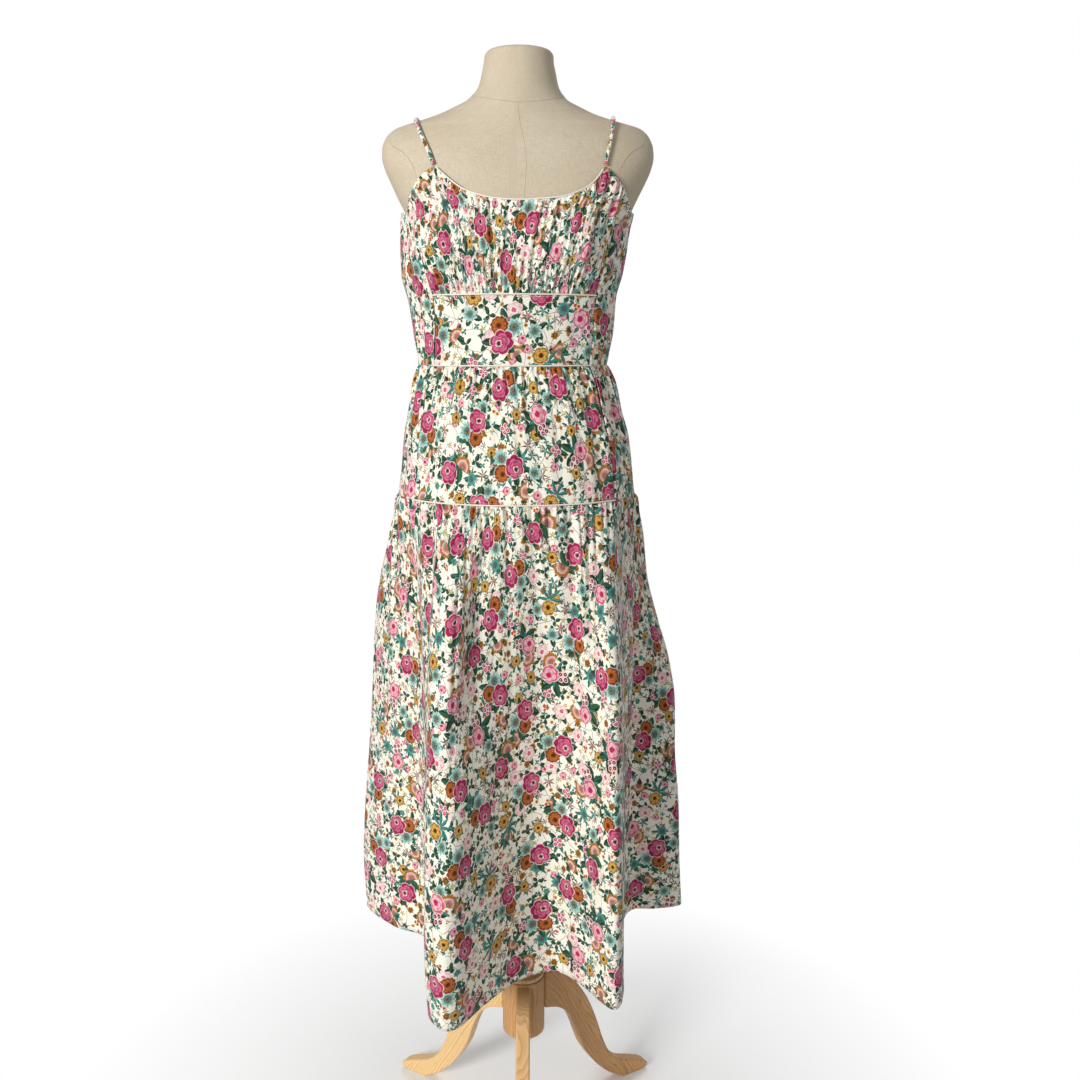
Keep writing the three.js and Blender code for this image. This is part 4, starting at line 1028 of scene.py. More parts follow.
def print_group(scale):
    """The floral print: layers of motifs over ivory cotton, on the flat cut of each panel."""
    tree, _, outputs = new_group("Floral Print", "ShaderNodeTree", {}, {"Colour": COLOUR})
    ring, sector, place = petal_ring_group(), sector_group(), motif_place_group()
    groups = {"bloom": bloom_group(ring), "daisy": daisy_group(ring), "fan": fan_group(ring),
              "leaves": leaf_group(sector), "berries": berry_group(sector)}
    cut = add(tree, "ShaderNodeUVMap", uv_map=CUT_MAP)
    cloth = add(tree, VECTOR, {0: cut, "Scale": 1 / scale}, operation="SCALE")
    # The drawn lines waver by about a millimetre, as in a painted design.
    waver = add(tree, NOISE, {"Vector": cloth, "Scale": 1.6, "Detail": 3.0})
    waver = add(tree, VECTOR, {0: waver.outputs["Color"], 1: (0.5, 0.5, 0.5)}, operation="SUBTRACT")
    waver = add(tree, VECTOR, {0: waver, 1: (0.34, 0.34, 0.0), 2: cloth}, operation="MULTIPLY_ADD")
    stroke = add(tree, NOISE, {"Vector": cloth, "Scale": 7.0, "Detail": 2.0}).outputs[0]
    blush_places = add(tree, NOISE, {"Vector": cloth, "Scale": 0.22, "Detail": 2.0})
    blush = add(tree, RANGE, {0: blush_places, 1: 0.55, 2: 0.75, 3: 0.0, 4: 0.4}, **SOFT)
    colour = add(tree, MIX, colour_mix({"share": blush, "below": rgba(PRINT["ivory"]),
                                        "above": rgba(PRINT["blush"])}), data_type="RGBA").outputs[2]
    # Thin stems run between the motifs, about 0.8 mm wide.
    stems = add(tree, "ShaderNodeTexVoronoi", {"Vector": waver, "Scale": 0.42},
                voronoi_dimensions="2D", feature="DISTANCE_TO_EDGE")
    stems = add(tree, RANGE, {0: stems.outputs["Distance"], 1: 0.022, 2: 0.01, 3: 0.0, 4: 0.75}, **SOFT)
    colour = add(tree, MIX, colour_mix({"share": stems, "below": colour,
                                        "above": rgba(PRINT["sprig"])}), data_type="RGBA").outputs[2]
    for spacing, shift, slant, unevenness, motifs in PRINT_LAYERS:
        here = add(tree, "ShaderNodeGroup", {
            "Cloth": waver, "Spacing": spacing, "Shift": (*shift, 0), "Slant": slant,
            "Unevenness": unevenness}, node_tree=place)
        for kind, start, end, x, y, *values in motifs:
            after = add(tree, MATH, {0: here.outputs["Pick"], 1: start}, operation="GREATER_THAN")
            until = add(tree, MATH, {0: here.outputs["Pick"], 1: end}, operation="LESS_THAN")
            show = add(tree, MATH, {0: after, 1: until}, operation="MULTIPLY")
            offset = add(tree, VECTOR, {0: here.outputs["Offset"], 1: (x, y, 0)},
                         operation="SUBTRACT")
            named = {name: rgba(PRINT[value]) if isinstance(value, str) else value
                     for name, value in zip(MOTIF_VALUES[kind], values)}
            colour = add(tree, "ShaderNodeGroup", {
                "Below": colour, "Offset": offset, "Show": show, "Stroke": stroke, **named},
                node_tree=groups[kind]).outputs["Colour"]
    # The ink lies a little unevenly.
    ink = add(tree, NOISE, {"Vector": cloth, "Scale": 5.0, "Detail": 2.0})
    ink = add(tree, RANGE, {0: ink, 1: 0.3, 2: 0.7, 3: 0.92, 4: 1.05}, **SOFT)
    inked = add(tree, VECTOR, {0: colour, "Scale": ink}, operation="SCALE")
    tree.links.new(inked.outputs[0], outputs["Colour"])
    return tree


def new_material(name):
    material = bpy.data.materials.new(name)
    material.use_nodes = True
    tree = material.node_tree
    tree.nodes.clear()
    surface = add(tree, "ShaderNodeBsdfPrincipled")
    add(tree, "ShaderNodeOutputMaterial", {"Surface": surface})
    return material, tree, surface


def cotton_material(name, printed, faded):
    """Printed cotton lawn, plain woven: matt, with a faint fuzz and a fine flat weave."""
    material, tree, surface = new_material(name)
    floral = add(tree, "ShaderNodeGroup", node_tree=printed)
    # Ink shows through weakly on the wrong side of the cloth.
    faded_print = add(tree, MIX, colour_mix({"share": faded, "below": floral,
                                             "above": rgba("#EDE8DC")}), data_type="RGBA")
    tree.links.new(faded_print.outputs[2], surface.inputs["Base Color"])
    surface.inputs["Roughness"].default_value = 0.82
    surface.inputs["Specular IOR Level"].default_value = 0.3
    surface.inputs["Sheen Weight"].default_value = 0.12
    surface.inputs["Sheen Roughness"].default_value = 0.5
    # The real threads are 0.3 mm apart, and are drawn 0.8 mm apart so that they show at all.
    cut = add(tree, "ShaderNodeUVMap", uv_map=CUT_MAP)
    threads = add(tree, VECTOR, {0: cut, "Scale": 2 * math.pi / 0.08}, operation="SCALE")
    threads = add(tree, VECTOR, {0: threads}, operation="SINE")
    parts = add(tree, "ShaderNodeSeparateXYZ", {0: threads})
    weave = add(tree, MATH, {0: parts.outputs["X"], 1: parts.outputs["Y"]}, operation="MULTIPLY")
    crumple = add(tree, NOISE, {"Vector": cut, "Scale": 0.9, "Detail": 4.0, "Roughness": 0.6})
    height = add(tree, MATH, {0: weave, 1: 0.02, 2: crumple}, operation="MULTIPLY_ADD")
    bump = add(tree, "ShaderNodeBump", {"Height": height, "Strength": 0.5, "Distance": 0.0012})
    tree.links.new(bump.outputs[0], surface.inputs["Normal"])
    return material


def piping_material(colour):
    """Cream cotton bias piping: matt, with the slant of its threads."""
    material, tree, surface = new_material("Cotton Bias Piping")
    place = add(tree, "ShaderNodeTexCoord").outputs["Object"]
    twist = add(tree, "ShaderNodeTexWave", {"Vector": place, "Scale": 260.0, "Distortion": 1.5},
                bands_direction="DIAGONAL")
    tone = add(tree, MIX, colour_mix({"share": twist, "below": (*[c * 0.86 for c in colour], 1),
                                      "above": (*colour, 1)}), data_type="RGBA")
    tree.links.new(tone.outputs[2], surface.inputs["Base Color"])
    surface.inputs["Roughness"].default_value = 0.75
    surface.inputs["Sheen Weight"].default_value = 0.15
    bump = add(tree, "ShaderNodeBump", {"Height": twist, "Strength": 0.4, "Distance": 0.0003})
    tree.links.new(bump.outputs[0], surface.inputs["Normal"])
    return material


def linen_material(colour, name, darker):
    """Linen cover over padding: uneven slubby threads in both directions, quite matt."""
    material, tree, surface = new_material(name)
    cut = add(tree, "ShaderNodeUVMap", uv_map=CUT_MAP)
    # Slubs run 10 to 30 mm along the threads and are 0.7 mm thick.
    across = add(tree, VECTOR, {0: cut, 1: (0.9, 13.0, 1.0)}, operation="MULTIPLY")
    along = add(tree, VECTOR, {0: cut, 1: (13.0, 0.9, 1.0)}, operation="MULTIPLY")
    weft = add(tree, NOISE, {"Vector": across, "Scale": 1.0, "Detail": 2.0})
    warp = add(tree, NOISE, {"Vector": along, "Scale": 1.0, "Detail": 2.0})
    threads = add(tree, MATH, {0: weft, 1: warp}, operation="ADD")
    slub = add(tree, RANGE, {0: threads, 1: 0.75, 2: 1.25})
    wear = add(tree, NOISE, {"Vector": cut, "Scale": 0.12, "Detail": 3.0})
    wear = add(tree, RANGE, {0: wear, 1: 0.35, 2: 0.65})
    light = [c * darker for c in colour]
    thread = add(tree, MIX, colour_mix({"share": slub, "below": (*[c * 0.84 for c in light], 1),
                                        "above": (*[c * 1.06 for c in light], 1)}), data_type="RGBA")
    aged = add(tree, VECTOR, {0: thread.outputs[2], 1: (0.95, 0.93, 0.89)}, operation="MULTIPLY")
    tone = add(tree, MIX, colour_mix({"share": wear, "below": aged, "above": thread.outputs[2]}),
               data_type="RGBA")
    tree.links.new(tone.outputs[2], surface.inputs["Base Color"])
    surface.inputs["Roughness"].default_value = 0.9
    surface.inputs["Specular IOR Level"].default_value = 0.25
    bump = add(tree, "ShaderNodeBump", {"Height": threads, "Strength": 0.35, "Distance": 0.0005})
    tree.links.new(bump.outputs[0], surface.inputs["Normal"])
    return material


def wood_material(name, light, dark, ring_width, bend_width):
    """Lacquered beech-like wood: growth rings along the board, short flecks, satin gloss."""
    material, tree, surface = new_material(name)
    grain = add(tree, "ShaderNodeAttribute", attribute_name=GRAIN)
    # Rings bend slowly along the board, so each is stretched eight times along the grain.
    board = add(tree, VECTOR, {0: grain.outputs["Vector"], 1: (0.12, 1.0, 1.0)}, operation="MULTIPLY")
    bend = add(tree, NOISE, {"Vector": board, "Scale": 0.5, "Detail": 2.0})
    bend = add(tree, VECTOR, {0: bend.outputs["Color"], 1: (0.0, bend_width, bend_width), 2: board},
               operation="MULTIPLY_ADD")
    centre = add(tree, VECTOR, {0: bend, 1: (0.0, -3.4, 1.7)}, operation="ADD")
    flat = add(tree, VECTOR, {0: centre, 1: (0.35, 1.0, 1.0)}, operation="MULTIPLY")
    out = add(tree, VECTOR, {0: flat}, operation="LENGTH")
    ring = add(tree, MATH, {0: out.outputs["Value"], 1: 1 / ring_width}, operation="MULTIPLY")
    ring = add(tree, MATH, {0: ring}, operation="FRACT")
    ring = add(tree, MATH, {0: ring, 1: 2.0}, operation="POWER")
    fibres = add(tree, VECTOR, {0: grain.outputs["Vector"], 1: (0.8, 16.0, 16.0)},
                 operation="MULTIPLY")
    fleck = add(tree, NOISE, {"Vector": fibres, "Scale": 1.0, "Detail": 3.0})
    fleck_share = add(tree, RANGE, {0: fleck, 1: 0.56, 2: 0.72, 3: 0.0, 4: 0.5})
    share = add(tree, MATH, {0: ring, 1: 0.6, 2: fleck_share}, operation="MULTIPLY_ADD",
                use_clamp=True)
    tone = add(tree, MIX, colour_mix({"share": share, "below": (*light, 1), "above": (*dark, 1)}),
               data_type="RGBA")
    tree.links.new(tone.outputs[2], surface.inputs["Base Color"])
    rough = add(tree, RANGE, {0: fleck, 1: 0.3, 2: 0.7, 3: 0.38, 4: 0.55})
    tree.links.new(rough.outputs[0], surface.inputs["Roughness"])
    surface.inputs["Coat Weight"].default_value = 0.15
    surface.inputs["Coat Roughness"].default_value = 0.35
    bump = add(tree, "ShaderNodeBump", {"Height": fleck, "Strength": 0.2, "Distance": 0.0003})
    tree.links.new(bump.outputs[0], surface.inputs["Normal"])
    return material


materials = {}


def make_materials(sizes):
    """Fills the table of materials once, from the colours in the panel."""
    if materials:
        return
    for key in ("ivory", "magenta", "teal", "leaf", "mustard"):
        PRINT[key] = getattr(sizes, key)
    printed = print_group(sizes.print_scale)
    materials["cotton"] = cotton_material("Printed Cotton Lawn", printed, 0.0)
    materials["cotton_wrong_side"] = cotton_material("Printed Cotton Lawn Wrong Side", printed, 0.55)
    materials["piping"] = piping_material(sizes.piping)
    materials["linen"] = linen_material(sizes.linen, "Linen Cover", 1.0)
    # The seams' linen is painted 12 percent darker, as painted shade of the groove that a sewn seam sinks
    # into
    materials["linen_seam"] = linen_material(sizes.linen, "Linen Seam Painted Shade", 0.88)
    for key, (name, grain, ring_width, bend_width) in WOODS.items():
        materials[key] = wood_material(name, getattr(sizes, key), linear(grain), ring_width, bend_width)


# Geometry Nodes trees

def cord_tree():
    """A round cord along a path, with its length and girth as a UV map in centimetres."""
    tree, inputs, outputs = new_group(
        "Cord Along a Path", "GeometryNodeTree",
        {"Path": "NodeSocketGeometry", "Radius": FLOAT, "Sides": "NodeSocketInt",
         "Finish": "NodeSocketMaterial"},
        {"Cord": "NodeSocketGeometry"},
    )
    line = add(tree, "GeometryNodeMeshToCurve", {"Mesh": inputs["Path"]})
    far = add(tree, "GeometryNodeSplineParameter")
    far_cm = add(tree, MATH, {0: far.outputs["Length"], 1: 1 / CM}, operation="MULTIPLY")
    line = add(tree, "GeometryNodeStoreNamedAttribute",
               {"Geometry": line, "Name": "along", "Value": far_cm}, data_type="FLOAT")
    ring = add(tree, "GeometryNodeCurvePrimitiveCircle",
               {"Resolution": inputs["Sides"], "Radius": inputs["Radius"]})
    girth = add(tree, "GeometryNodeSplineParameter")
    girth_cm = add(tree, MATH, {0: girth.outputs["Length"], 1: 1 / CM}, operation="MULTIPLY")
    ring = add(tree, "GeometryNodeStoreNamedAttribute",
               {"Geometry": ring, "Name": "around", "Value": girth_cm}, data_type="FLOAT")
    cord = add(tree, "GeometryNodeCurveToMesh",
               {"Curve": line, "Profile Curve": ring, "Fill Caps": True})
    along = add(tree, "GeometryNodeInputNamedAttribute", {"Name": "along"}, data_type="FLOAT")
    around = add(tree, "GeometryNodeInputNamedAttribute", {"Name": "around"}, data_type="FLOAT")
    place = add(tree, "ShaderNodeCombineXYZ", {0: around, 1: along})
    cord = add(tree, "GeometryNodeStoreNamedAttribute",
               {"Geometry": cord, "Name": CUT_MAP, "Value": place},
               data_type="FLOAT2", domain="CORNER")
    cord = add(tree, "GeometryNodeSetShadeSmooth", {"Geometry": cord})
    cord = add(tree, "GeometryNodeRealizeInstances", {"Geometry": cord})
    cord = add(tree, "GeometryNodeSetMaterial", {"Geometry": cord, "Material": inputs["Finish"]})
    tree.links.new(cord.outputs[0], outputs["Cord"])
    return tree


def stitch_tree():
    """A row of short thread stitches along a path."""
    tree, inputs, outputs = new_group(
        "Stitches Along a Path", "GeometryNodeTree",
        {"Path": "NodeSocketGeometry", "Pitch": FLOAT, "Length": FLOAT, "Thread": FLOAT,
         "Unevenness": FLOAT, "Seed": "NodeSocketInt", "Finish": "NodeSocketMaterial"},
        {"Stitches": "NodeSocketGeometry"},
    )
    line = add(tree, "GeometryNodeMeshToCurve", {"Mesh": inputs["Path"]})
    marks = add(tree, "GeometryNodeResampleCurve", {"Curve": line, "Length": inputs["Pitch"]},
                mode="LENGTH")
    half = add(tree, MATH, {0: inputs["Length"], 1: 0.5}, operation="MULTIPLY")
    stitch = add(tree, "GeometryNodeMeshUVSphere", {"Segments": 6, "Rings": 4, "Radius": 1.0})
    shape = add(tree, "ShaderNodeCombineXYZ", {0: half, 1: inputs["Thread"], 2: inputs["Thread"]})
    stitch = add(tree, "GeometryNodeTransform", {"Geometry": stitch, "Scale": shape})
    tangent = add(tree, "GeometryNodeInputTangent")
    least = add(tree, MATH, {0: 0.0, 1: inputs["Unevenness"]}, operation="SUBTRACT")
    jitter = add(tree, "FunctionNodeRandomValue",
                 {2: least, 3: inputs["Unevenness"], "Seed": inputs["Seed"]}, data_type="FLOAT")
    uneven = add(tree, "ShaderNodeCombineXYZ", {2: jitter.outputs[1]})
    heading = add(tree, "ShaderNodeVectorMath", {0: tangent, 1: uneven}, operation="ADD")
    turn = add(tree, "FunctionNodeAlignRotationToVector", {"Vector": heading}, axis="X")
    placed = add(tree, "GeometryNodeInstanceOnPoints",
                 {"Points": marks, "Instance": stitch, "Rotation": turn})
    made = add(tree, "GeometryNodeRealizeInstances", {"Geometry": placed})
    made = add(tree, "GeometryNodeSetShadeSmooth", {"Geometry": made})
    made = add(tree, "GeometryNodeSetMaterial", {"Geometry": made, "Material": inputs["Finish"]})
    tree.links.new(made.outputs[0], outputs["Stitches"])
    return tree


def grow(name, lines, tree, values):
    """Runs a node tree on one or more lines and keeps the result as a plain mesh."""
    points, edges = [], []
    for path in lines:
        start = len(points)
        points += [tuple(p) for p in place_in_frame(path)]
        edges += [(start + i, start + i + 1) for i in range(len(path) - 1)]
    carrier = link(bpy.data.objects.new(name + "_path", new_mesh(name, points, [], edges)))
    modifier = carrier.modifiers.new("Grow", "NODES")
    modifier.node_group = tree
    for item in tree.interface.items_tree:
        if item.in_out == "INPUT" and item.name in values:
            modifier[item.identifier] = values[item.name]
    ready = carrier.evaluated_get(bpy.context.evaluated_depsgraph_get())
    mesh = bpy.data.meshes.new_from_object(ready)
    bpy.data.objects.remove(carrier)
    if len(mesh.polygons) == 0:
        raise RuntimeError(f"{name} came out empty")
    mesh.name = name
    return link(bpy.data.objects.new(name, mesh))


trees = {}


def tree_for(kind):
    if kind not in trees:
        trees[kind] = {"cord": cord_tree, "stitches": stitch_tree}[kind]()
    return trees[kind]


# Panel and operators

class SundressSizes(bpy.types.PropertyGroup):
    """Sizes and colours of the sundress, its form and its stand."""

    cloth: bpy.props.FloatProperty(
        name="Cloth Thickness", description="Thickness of the cotton as shown",
        default=0.0006, min=0.0002, max=0.0015, precision=4, subtype="DISTANCE", unit="LENGTH")
    gather: bpy.props.FloatProperty(
        name="Gather Strength", description="How high the gathers stand, 1 as in the photo",
        default=1.0, min=0.0, max=2.0, subtype="FACTOR")
    print_scale: bpy.props.FloatProperty(
        name="Print Scale", description="Size of the floral motifs, 1 for 33 mm roses",
        default=1.0, min=0.3, max=3.0, subtype="FACTOR")
    strap_radius: bpy.props.FloatProperty(
        name="Strap Radius", description="Radius of each round shoulder strap",
        default=0.0026, min=0.001, max=0.004, precision=4, subtype="DISTANCE", unit="LENGTH")
    piping_radius: bpy.props.FloatProperty(
        name="Piping Radius", description="Radius of the cream piping",
        default=0.0011, min=0.0005, max=0.002, precision=4, subtype="DISTANCE", unit="LENGTH")
    stitch_pitch: bpy.props.FloatProperty(
        name="Stitch Pitch", description="Distance from one stitch to the next",
        default=0.0034, min=0.002, max=0.01, precision=4, subtype="DISTANCE", unit="LENGTH")
    ivory: bpy.props.StringProperty(
        name="Cotton Ground", description="Hex colour of the cotton under the print",
        default=PRINT["ivory"])
    magenta: bpy.props.StringProperty(
        name="Rose", description="Hex colour of the large roses", default=PRINT["magenta"])
    teal: bpy.props.StringProperty(
        name="Teal", description="Hex colour of the teal flowers", default=PRINT["teal"])
    leaf: bpy.props.StringProperty(
        name="Leaf", description="Hex colour of the leaves", default=PRINT["leaf"])
    mustard: bpy.props.StringProperty(
        name="Mustard", description="Hex colour of the mustard blossoms", default=PRINT["mustard"])
    piping: bpy.props.FloatVectorProperty(
        name="Piping", description="Colour of the piping", subtype="COLOR", size=3,
        min=0, max=1, default=linear("#F6EEDC"))
    linen: bpy.props.FloatVectorProperty(
        name="Linen", description="Colour of the form's linen cover", subtype="COLOR", size=3,
        min=0, max=1, default=linear("#D3C5AD"))
    light_wood: bpy.props.FloatVectorProperty(
        name="Light Wood", description="Colour of the left leg, collar and pole", subtype="COLOR", size=3,
        min=0, max=1, default=linear("#EBC78D"))
    golden_wood: bpy.props.FloatVectorProperty(
        name="Golden Wood", description="Colour of the front leg", subtype="COLOR", size=3,
        min=0, max=1, default=linear("#E0B37A"))
    dark_wood: bpy.props.FloatVectorProperty(
        name="Dark Wood", description="Colour of the hub and right leg", subtype="COLOR", size=3,
        min=0, max=1, default=linear("#CF9C63"))


def sizes_now(context):
    sizes = context.scene.sundress_sizes
    make_materials(sizes)
    return sizes


def column_shares(count, fixed=()):
    """Even shares from 0 to 1, with the nearest ones moved onto fixed shares."""
    shares = np.linspace(0, 1, count + 1)
    for share in fixed:
        shares[round(share * count)] = share
    return shares


class SUNDRESS_OT_bodice(bpy.types.Operator):
    """Sew the gathered bust, the smooth midriff and the back of the bodice"""

    bl_idname = "sundress.bodice"
    bl_label = "Bodice"

    def execute(self, context):
        sizes = sizes_now(context)
        self.bust(sizes)
        self.midriff(sizes)
        self.back(sizes)
        return {"FINISHED"}

    def bust(self, sizes):
        left, right = blend_rows(BODICE_SEAM, np.array(float(SIDE_TOP_Z)))
        tips = [(turn - left) / (right - left) for turn in (STRAP_LEFT, STRAP_RIGHT)]
        shares = column_shares(330, tips)
        top = top_edge(mix(left, right, shares))
        z = mix(UNDERBUST_Z, top[None, :], np.linspace(0, 1, 84)[:, None])
        seam_left, seam_right = blend_rows(BODICE_SEAM, z)
        turn = mix(seam_left, seam_right, shares[None, :])
        wide = 256
        across = shares[None, :] * wide * np.ones_like(z)
        height = gathers(across, top - z, 27, wide, 4.8, 70, 21)
        height += gathers(across, z - UNDERBUST_Z, 27, wide, 5.0, 66, 22)
        height += gathers(across, top - z, 62, wide, 1.0, 13, 24)
        height += gathers(across, z - UNDERBUST_Z, 62, wide, 1.1, 13, 25)
        height += creases(BUST_CREASES, turn, z, 2.3)
        height += 0.35 * ripples(across, z, 7, 30, 23)
        edge = held_at(top - z, SEAM_HOLD)
        height = keep_out(height * edge * sizes.gather, BODICE_ROOM) + seam_dip(across, wide)
        piece = sew_panel("bust_panel", turn, z, garment_point, height, 1.25, (3.0, 41.0), sizes.cloth)
        finish_piece(piece, "bust_front")

    def midriff(self, sizes):
        shares = column_shares(150)
        z = np.linspace(WAIST_Z, UNDERBUST_Z, 50)[:, None] * np.ones_like(shares)[None, :]
        seam_left, seam_right = blend_rows(BODICE_SEAM, z)
        turn = mix(seam_left, seam_right, shares[None, :])
        wide = 240
        across = shares[None, :] * wide * np.ones_like(z)
        height = creases(MIDRIFF_CREASES, turn, z, 2.2) + 0.5 * ripples(across, z, 26, 34, 31)
        ends = held_at(UNDERBUST_Z - z, SEAM_HOLD) * held_at(z - WAIST_Z, SEAM_HOLD)
        height = height * ends + seam_dip(across, wide)
        piece = sew_panel("midriff_panel", turn, z, garment_point, height, 1.0, (61.0, 12.0),
                          sizes.cloth)
        finish_piece(piece, "midriff_front")

    def back(self, sizes):
        left, right = blend_rows(BODICE_SEAM, np.array(float(SIDE_TOP_Z)))
        shares = column_shares(330)
        top_turn = mix(right, left + 360, shares)
        top = top_edge(np.where(top_turn > 180, top_turn - 360, top_turn))
        z = mix(WAIST_Z, top[None, :], np.linspace(0, 1, 90)[:, None])
        seam_left, seam_right = blend_rows(BODICE_SEAM, z)
        turn = mix(seam_right, seam_left + 360, shares[None, :])
        wide = 560
        across = shares[None, :] * wide * np.ones_like(z)
        height = gathers(across, top - z, 40, wide, 1.8, 80, 41)
        height += gathers(across, z - WAIST_Z, 40, wide, 2.4, 90, 42)
        height += creases(BACK_BODICE_CREASES, turn, z, 2.0)
        height += 0.4 * ripples(across, z, 12, 40, 43)
        edge = held_at(top - z, SEAM_HOLD) * held_at(z - WAIST_Z, SEAM_HOLD)
        height = keep_out(height * edge * sizes.gather, BODICE_ROOM) + seam_dip(across, wide)
        piece = sew_panel("back_bodice_panel", turn, z, garment_point, height, 1.15, (91.0, 71.0),
                          sizes.cloth)
        finish_piece(piece, "back_bodice")


class SUNDRESS_OT_skirt(bpy.types.Operator):
    """Sew the short upper tier and the long bottom tier with its hanging folds"""

    bl_idname = "sundress.skirt"
    bl_label = "Skirt"

    def execute(self, context):
        sizes = sizes_now(context)
        front = (SEAM_LEFT, SEAM_RIGHT)
        back = (SEAM_RIGHT, SEAM_LEFT + 360)
        self.upper("upper_tier_front", "upper_skirt_front", front, 300, 380, UPPER_CREASES, 51,
                   (121.0, 33.0), (0.37, 0.19), sizes)
        self.upper("upper_tier_back", "upper_skirt_back", back, 620, 420, UPPER_BACK_CREASES, 61,
                   (151.0, 93.0), (0.8, 0.19), sizes)
        self.lower("lower_tier_front", "lower_skirt_front", front, 300, 400, LOWER_CREASES, 71,
                   (181.0, 53.0), (0.62, 0.725), sizes)
        self.lower("lower_tier_back", "lower_skirt_back", back, 640, 420, LOWER_BACK_CREASES, 81,
                   (211.0, 113.0), (1.44, 0.725), sizes)
        return {"FINISHED"}

    def upper(self, name, node, sides, wide, columns, table, seed, print_at, flat, sizes):
        shares = column_shares(columns)
        z = np.linspace(HIP_Z, WAIST_Z, 76)[:, None] * np.ones_like(shares)[None, :]
        turn = mix(sides[0], sides[1], shares[None, :]) * np.ones_like(z)
        across = shares[None, :] * wide * np.ones_like(z)
        away = WAIST_Z - z
        count = round(wide / GATHER_SPACING)
        height = gathers(across, away, count, wide, 4.0, 66, seed)
        height += gathers(across, away, round(count * FINE_GATHERS), wide, FINE_HEIGHT, FINE_REACH,
                          seed + 3)
        height += gathers(across, away, round(count / 3), wide, 3.2, 190, seed + 1)
        height += creases(table, turn, z, 2.5) + 0.5 * ripples(across, z, 14, 60, seed + 2)
        height *= held_at(z - HIP_Z, HIP_HOLD)
        height = keep_out(height * sizes.gather, SKIRT_ROOM) + seam_dip(across, wide)
        piece = sew_panel(name, turn, z, garment_point, height, 1.15, print_at, sizes.cloth)
        finish_piece(piece, node)

    def lower(self, name, node, sides, wide, columns, table, seed, print_at, flat, sizes):
        even = np.linspace(0, 1, 2000)
        hem = path_lengths(hem_point(mix(sides[0], sides[1], even)), 0)
        # Columns lie closer where the hem turns, for smooth folds.
        shares = np.interp(np.linspace(0, 1, columns + 1), 0.5 * (even + hem / hem[-1]), even)
        # Rows lie closer near the hip seam, for its gathers.
        close_from = 880
        rows = np.concatenate([np.linspace(HEM_Z, close_from, 62)[:-1],
                               np.linspace(close_from, HIP_Z, 38)])
        z = rows[:, None] * np.ones_like(shares)[None, :]
        turn = mix(sides[0], sides[1], shares[None, :]) * np.ones_like(z)
        across = shares[None, :] * wide * np.ones_like(z)
        away = HIP_Z - z
        count = round(wide / GATHER_SPACING)
        height = gathers(across, away, count, wide, 4.2, 78, seed)
        height += gathers(across, away, round(count * FINE_GATHERS), wide, FINE_HEIGHT, FINE_REACH,
                          seed + 3)
        height += gathers(across, away, round(count / 2.6), wide, 4.2, 250, seed + 1)
        height += creases(table, turn, z, 2.6)
        height += 0.9 * ripples(across, z, 16, 130, seed + 2) * (1 - np.exp(-away / 60))
        height = height * sizes.gather + seam_dip(across, wide)
        piece = sew_panel(name, turn, z, lower_point, height, 1.0, print_at, sizes.cloth)
        finish_piece(piece, node)


class SUNDRESS_OT_straps(bpy.types.Operator):
    """Make the two round straps of the same cotton"""

    bl_idname = "sundress.straps"
    bl_label = "Straps"

    def execute(self, context):
        sizes = sizes_now(context)
        for node, route in STRAP_ROUTES.items():
            points = [on_form(x, z, side, STRAP_LIFT) for x, z, side in route]
            piece = grow(node + "_cord", [smooth_path(points, 6)], tree_for("cord"),
                         {"Radius": sizes.strap_radius, "Sides": 16, "Finish": materials["cotton"]})
            finish_piece(piece, node)
        return {"FINISHED"}


def seam_line(turns, z, lift):
    """A line along a seam, at a distance out from the cloth."""
    turn = np.asarray(turns, float)[None, :]
    points = garment_point(turn, np.broadcast_to(np.asarray(z, float), turn.shape))
    return (points + level_out(points) * lift)[0]


class SUNDRESS_OT_piping(bpy.types.Operator):
    """Lay the cream piping in the neckline and the three front seams"""

    bl_idname = "sundress.piping"
    bl_label = "Piping"

    def execute(self, context):
        sizes = sizes_now(context)
        bust = blend_rows(BODICE_SEAM, np.array(float(UNDERBUST_Z)))
        waist = blend_rows(BODICE_SEAM, np.array(float(WAIST_Z)))
        seams = [
            ("underbust_piping", "piping_underbust", UNDERBUST_Z, bust),
            ("waist_piping", "piping_waist", WAIST_Z, waist),
            ("hip_piping", "piping_hip", HIP_Z, (SEAM_LEFT, SEAM_RIGHT)),
        ]
        for name, node, z, (left, right) in seams:
            line = seam_line(np.linspace(left, right, 90), z, PIPING_LIFT)
            self.lay(name, node, line, sizes)
        turns = np.linspace(STRAP_LEFT + NECKLINE_INSET, STRAP_RIGHT - NECKLINE_INSET, 120)
        line = seam_line(turns, top_edge(turns), NECKLINE_LIFT)
        line[:, 2] += NECKLINE_RISE
        self.lay("neckline_piping", "piping_neckline", line, sizes)
        return {"FINISHED"}

    def lay(self, name, node, line, sizes):
        piece = grow(name, [line], tree_for("cord"),
                     {"Radius": sizes.piping_radius, "Sides": 12, "Finish": materials["piping"]})
        finish_piece(piece, node)


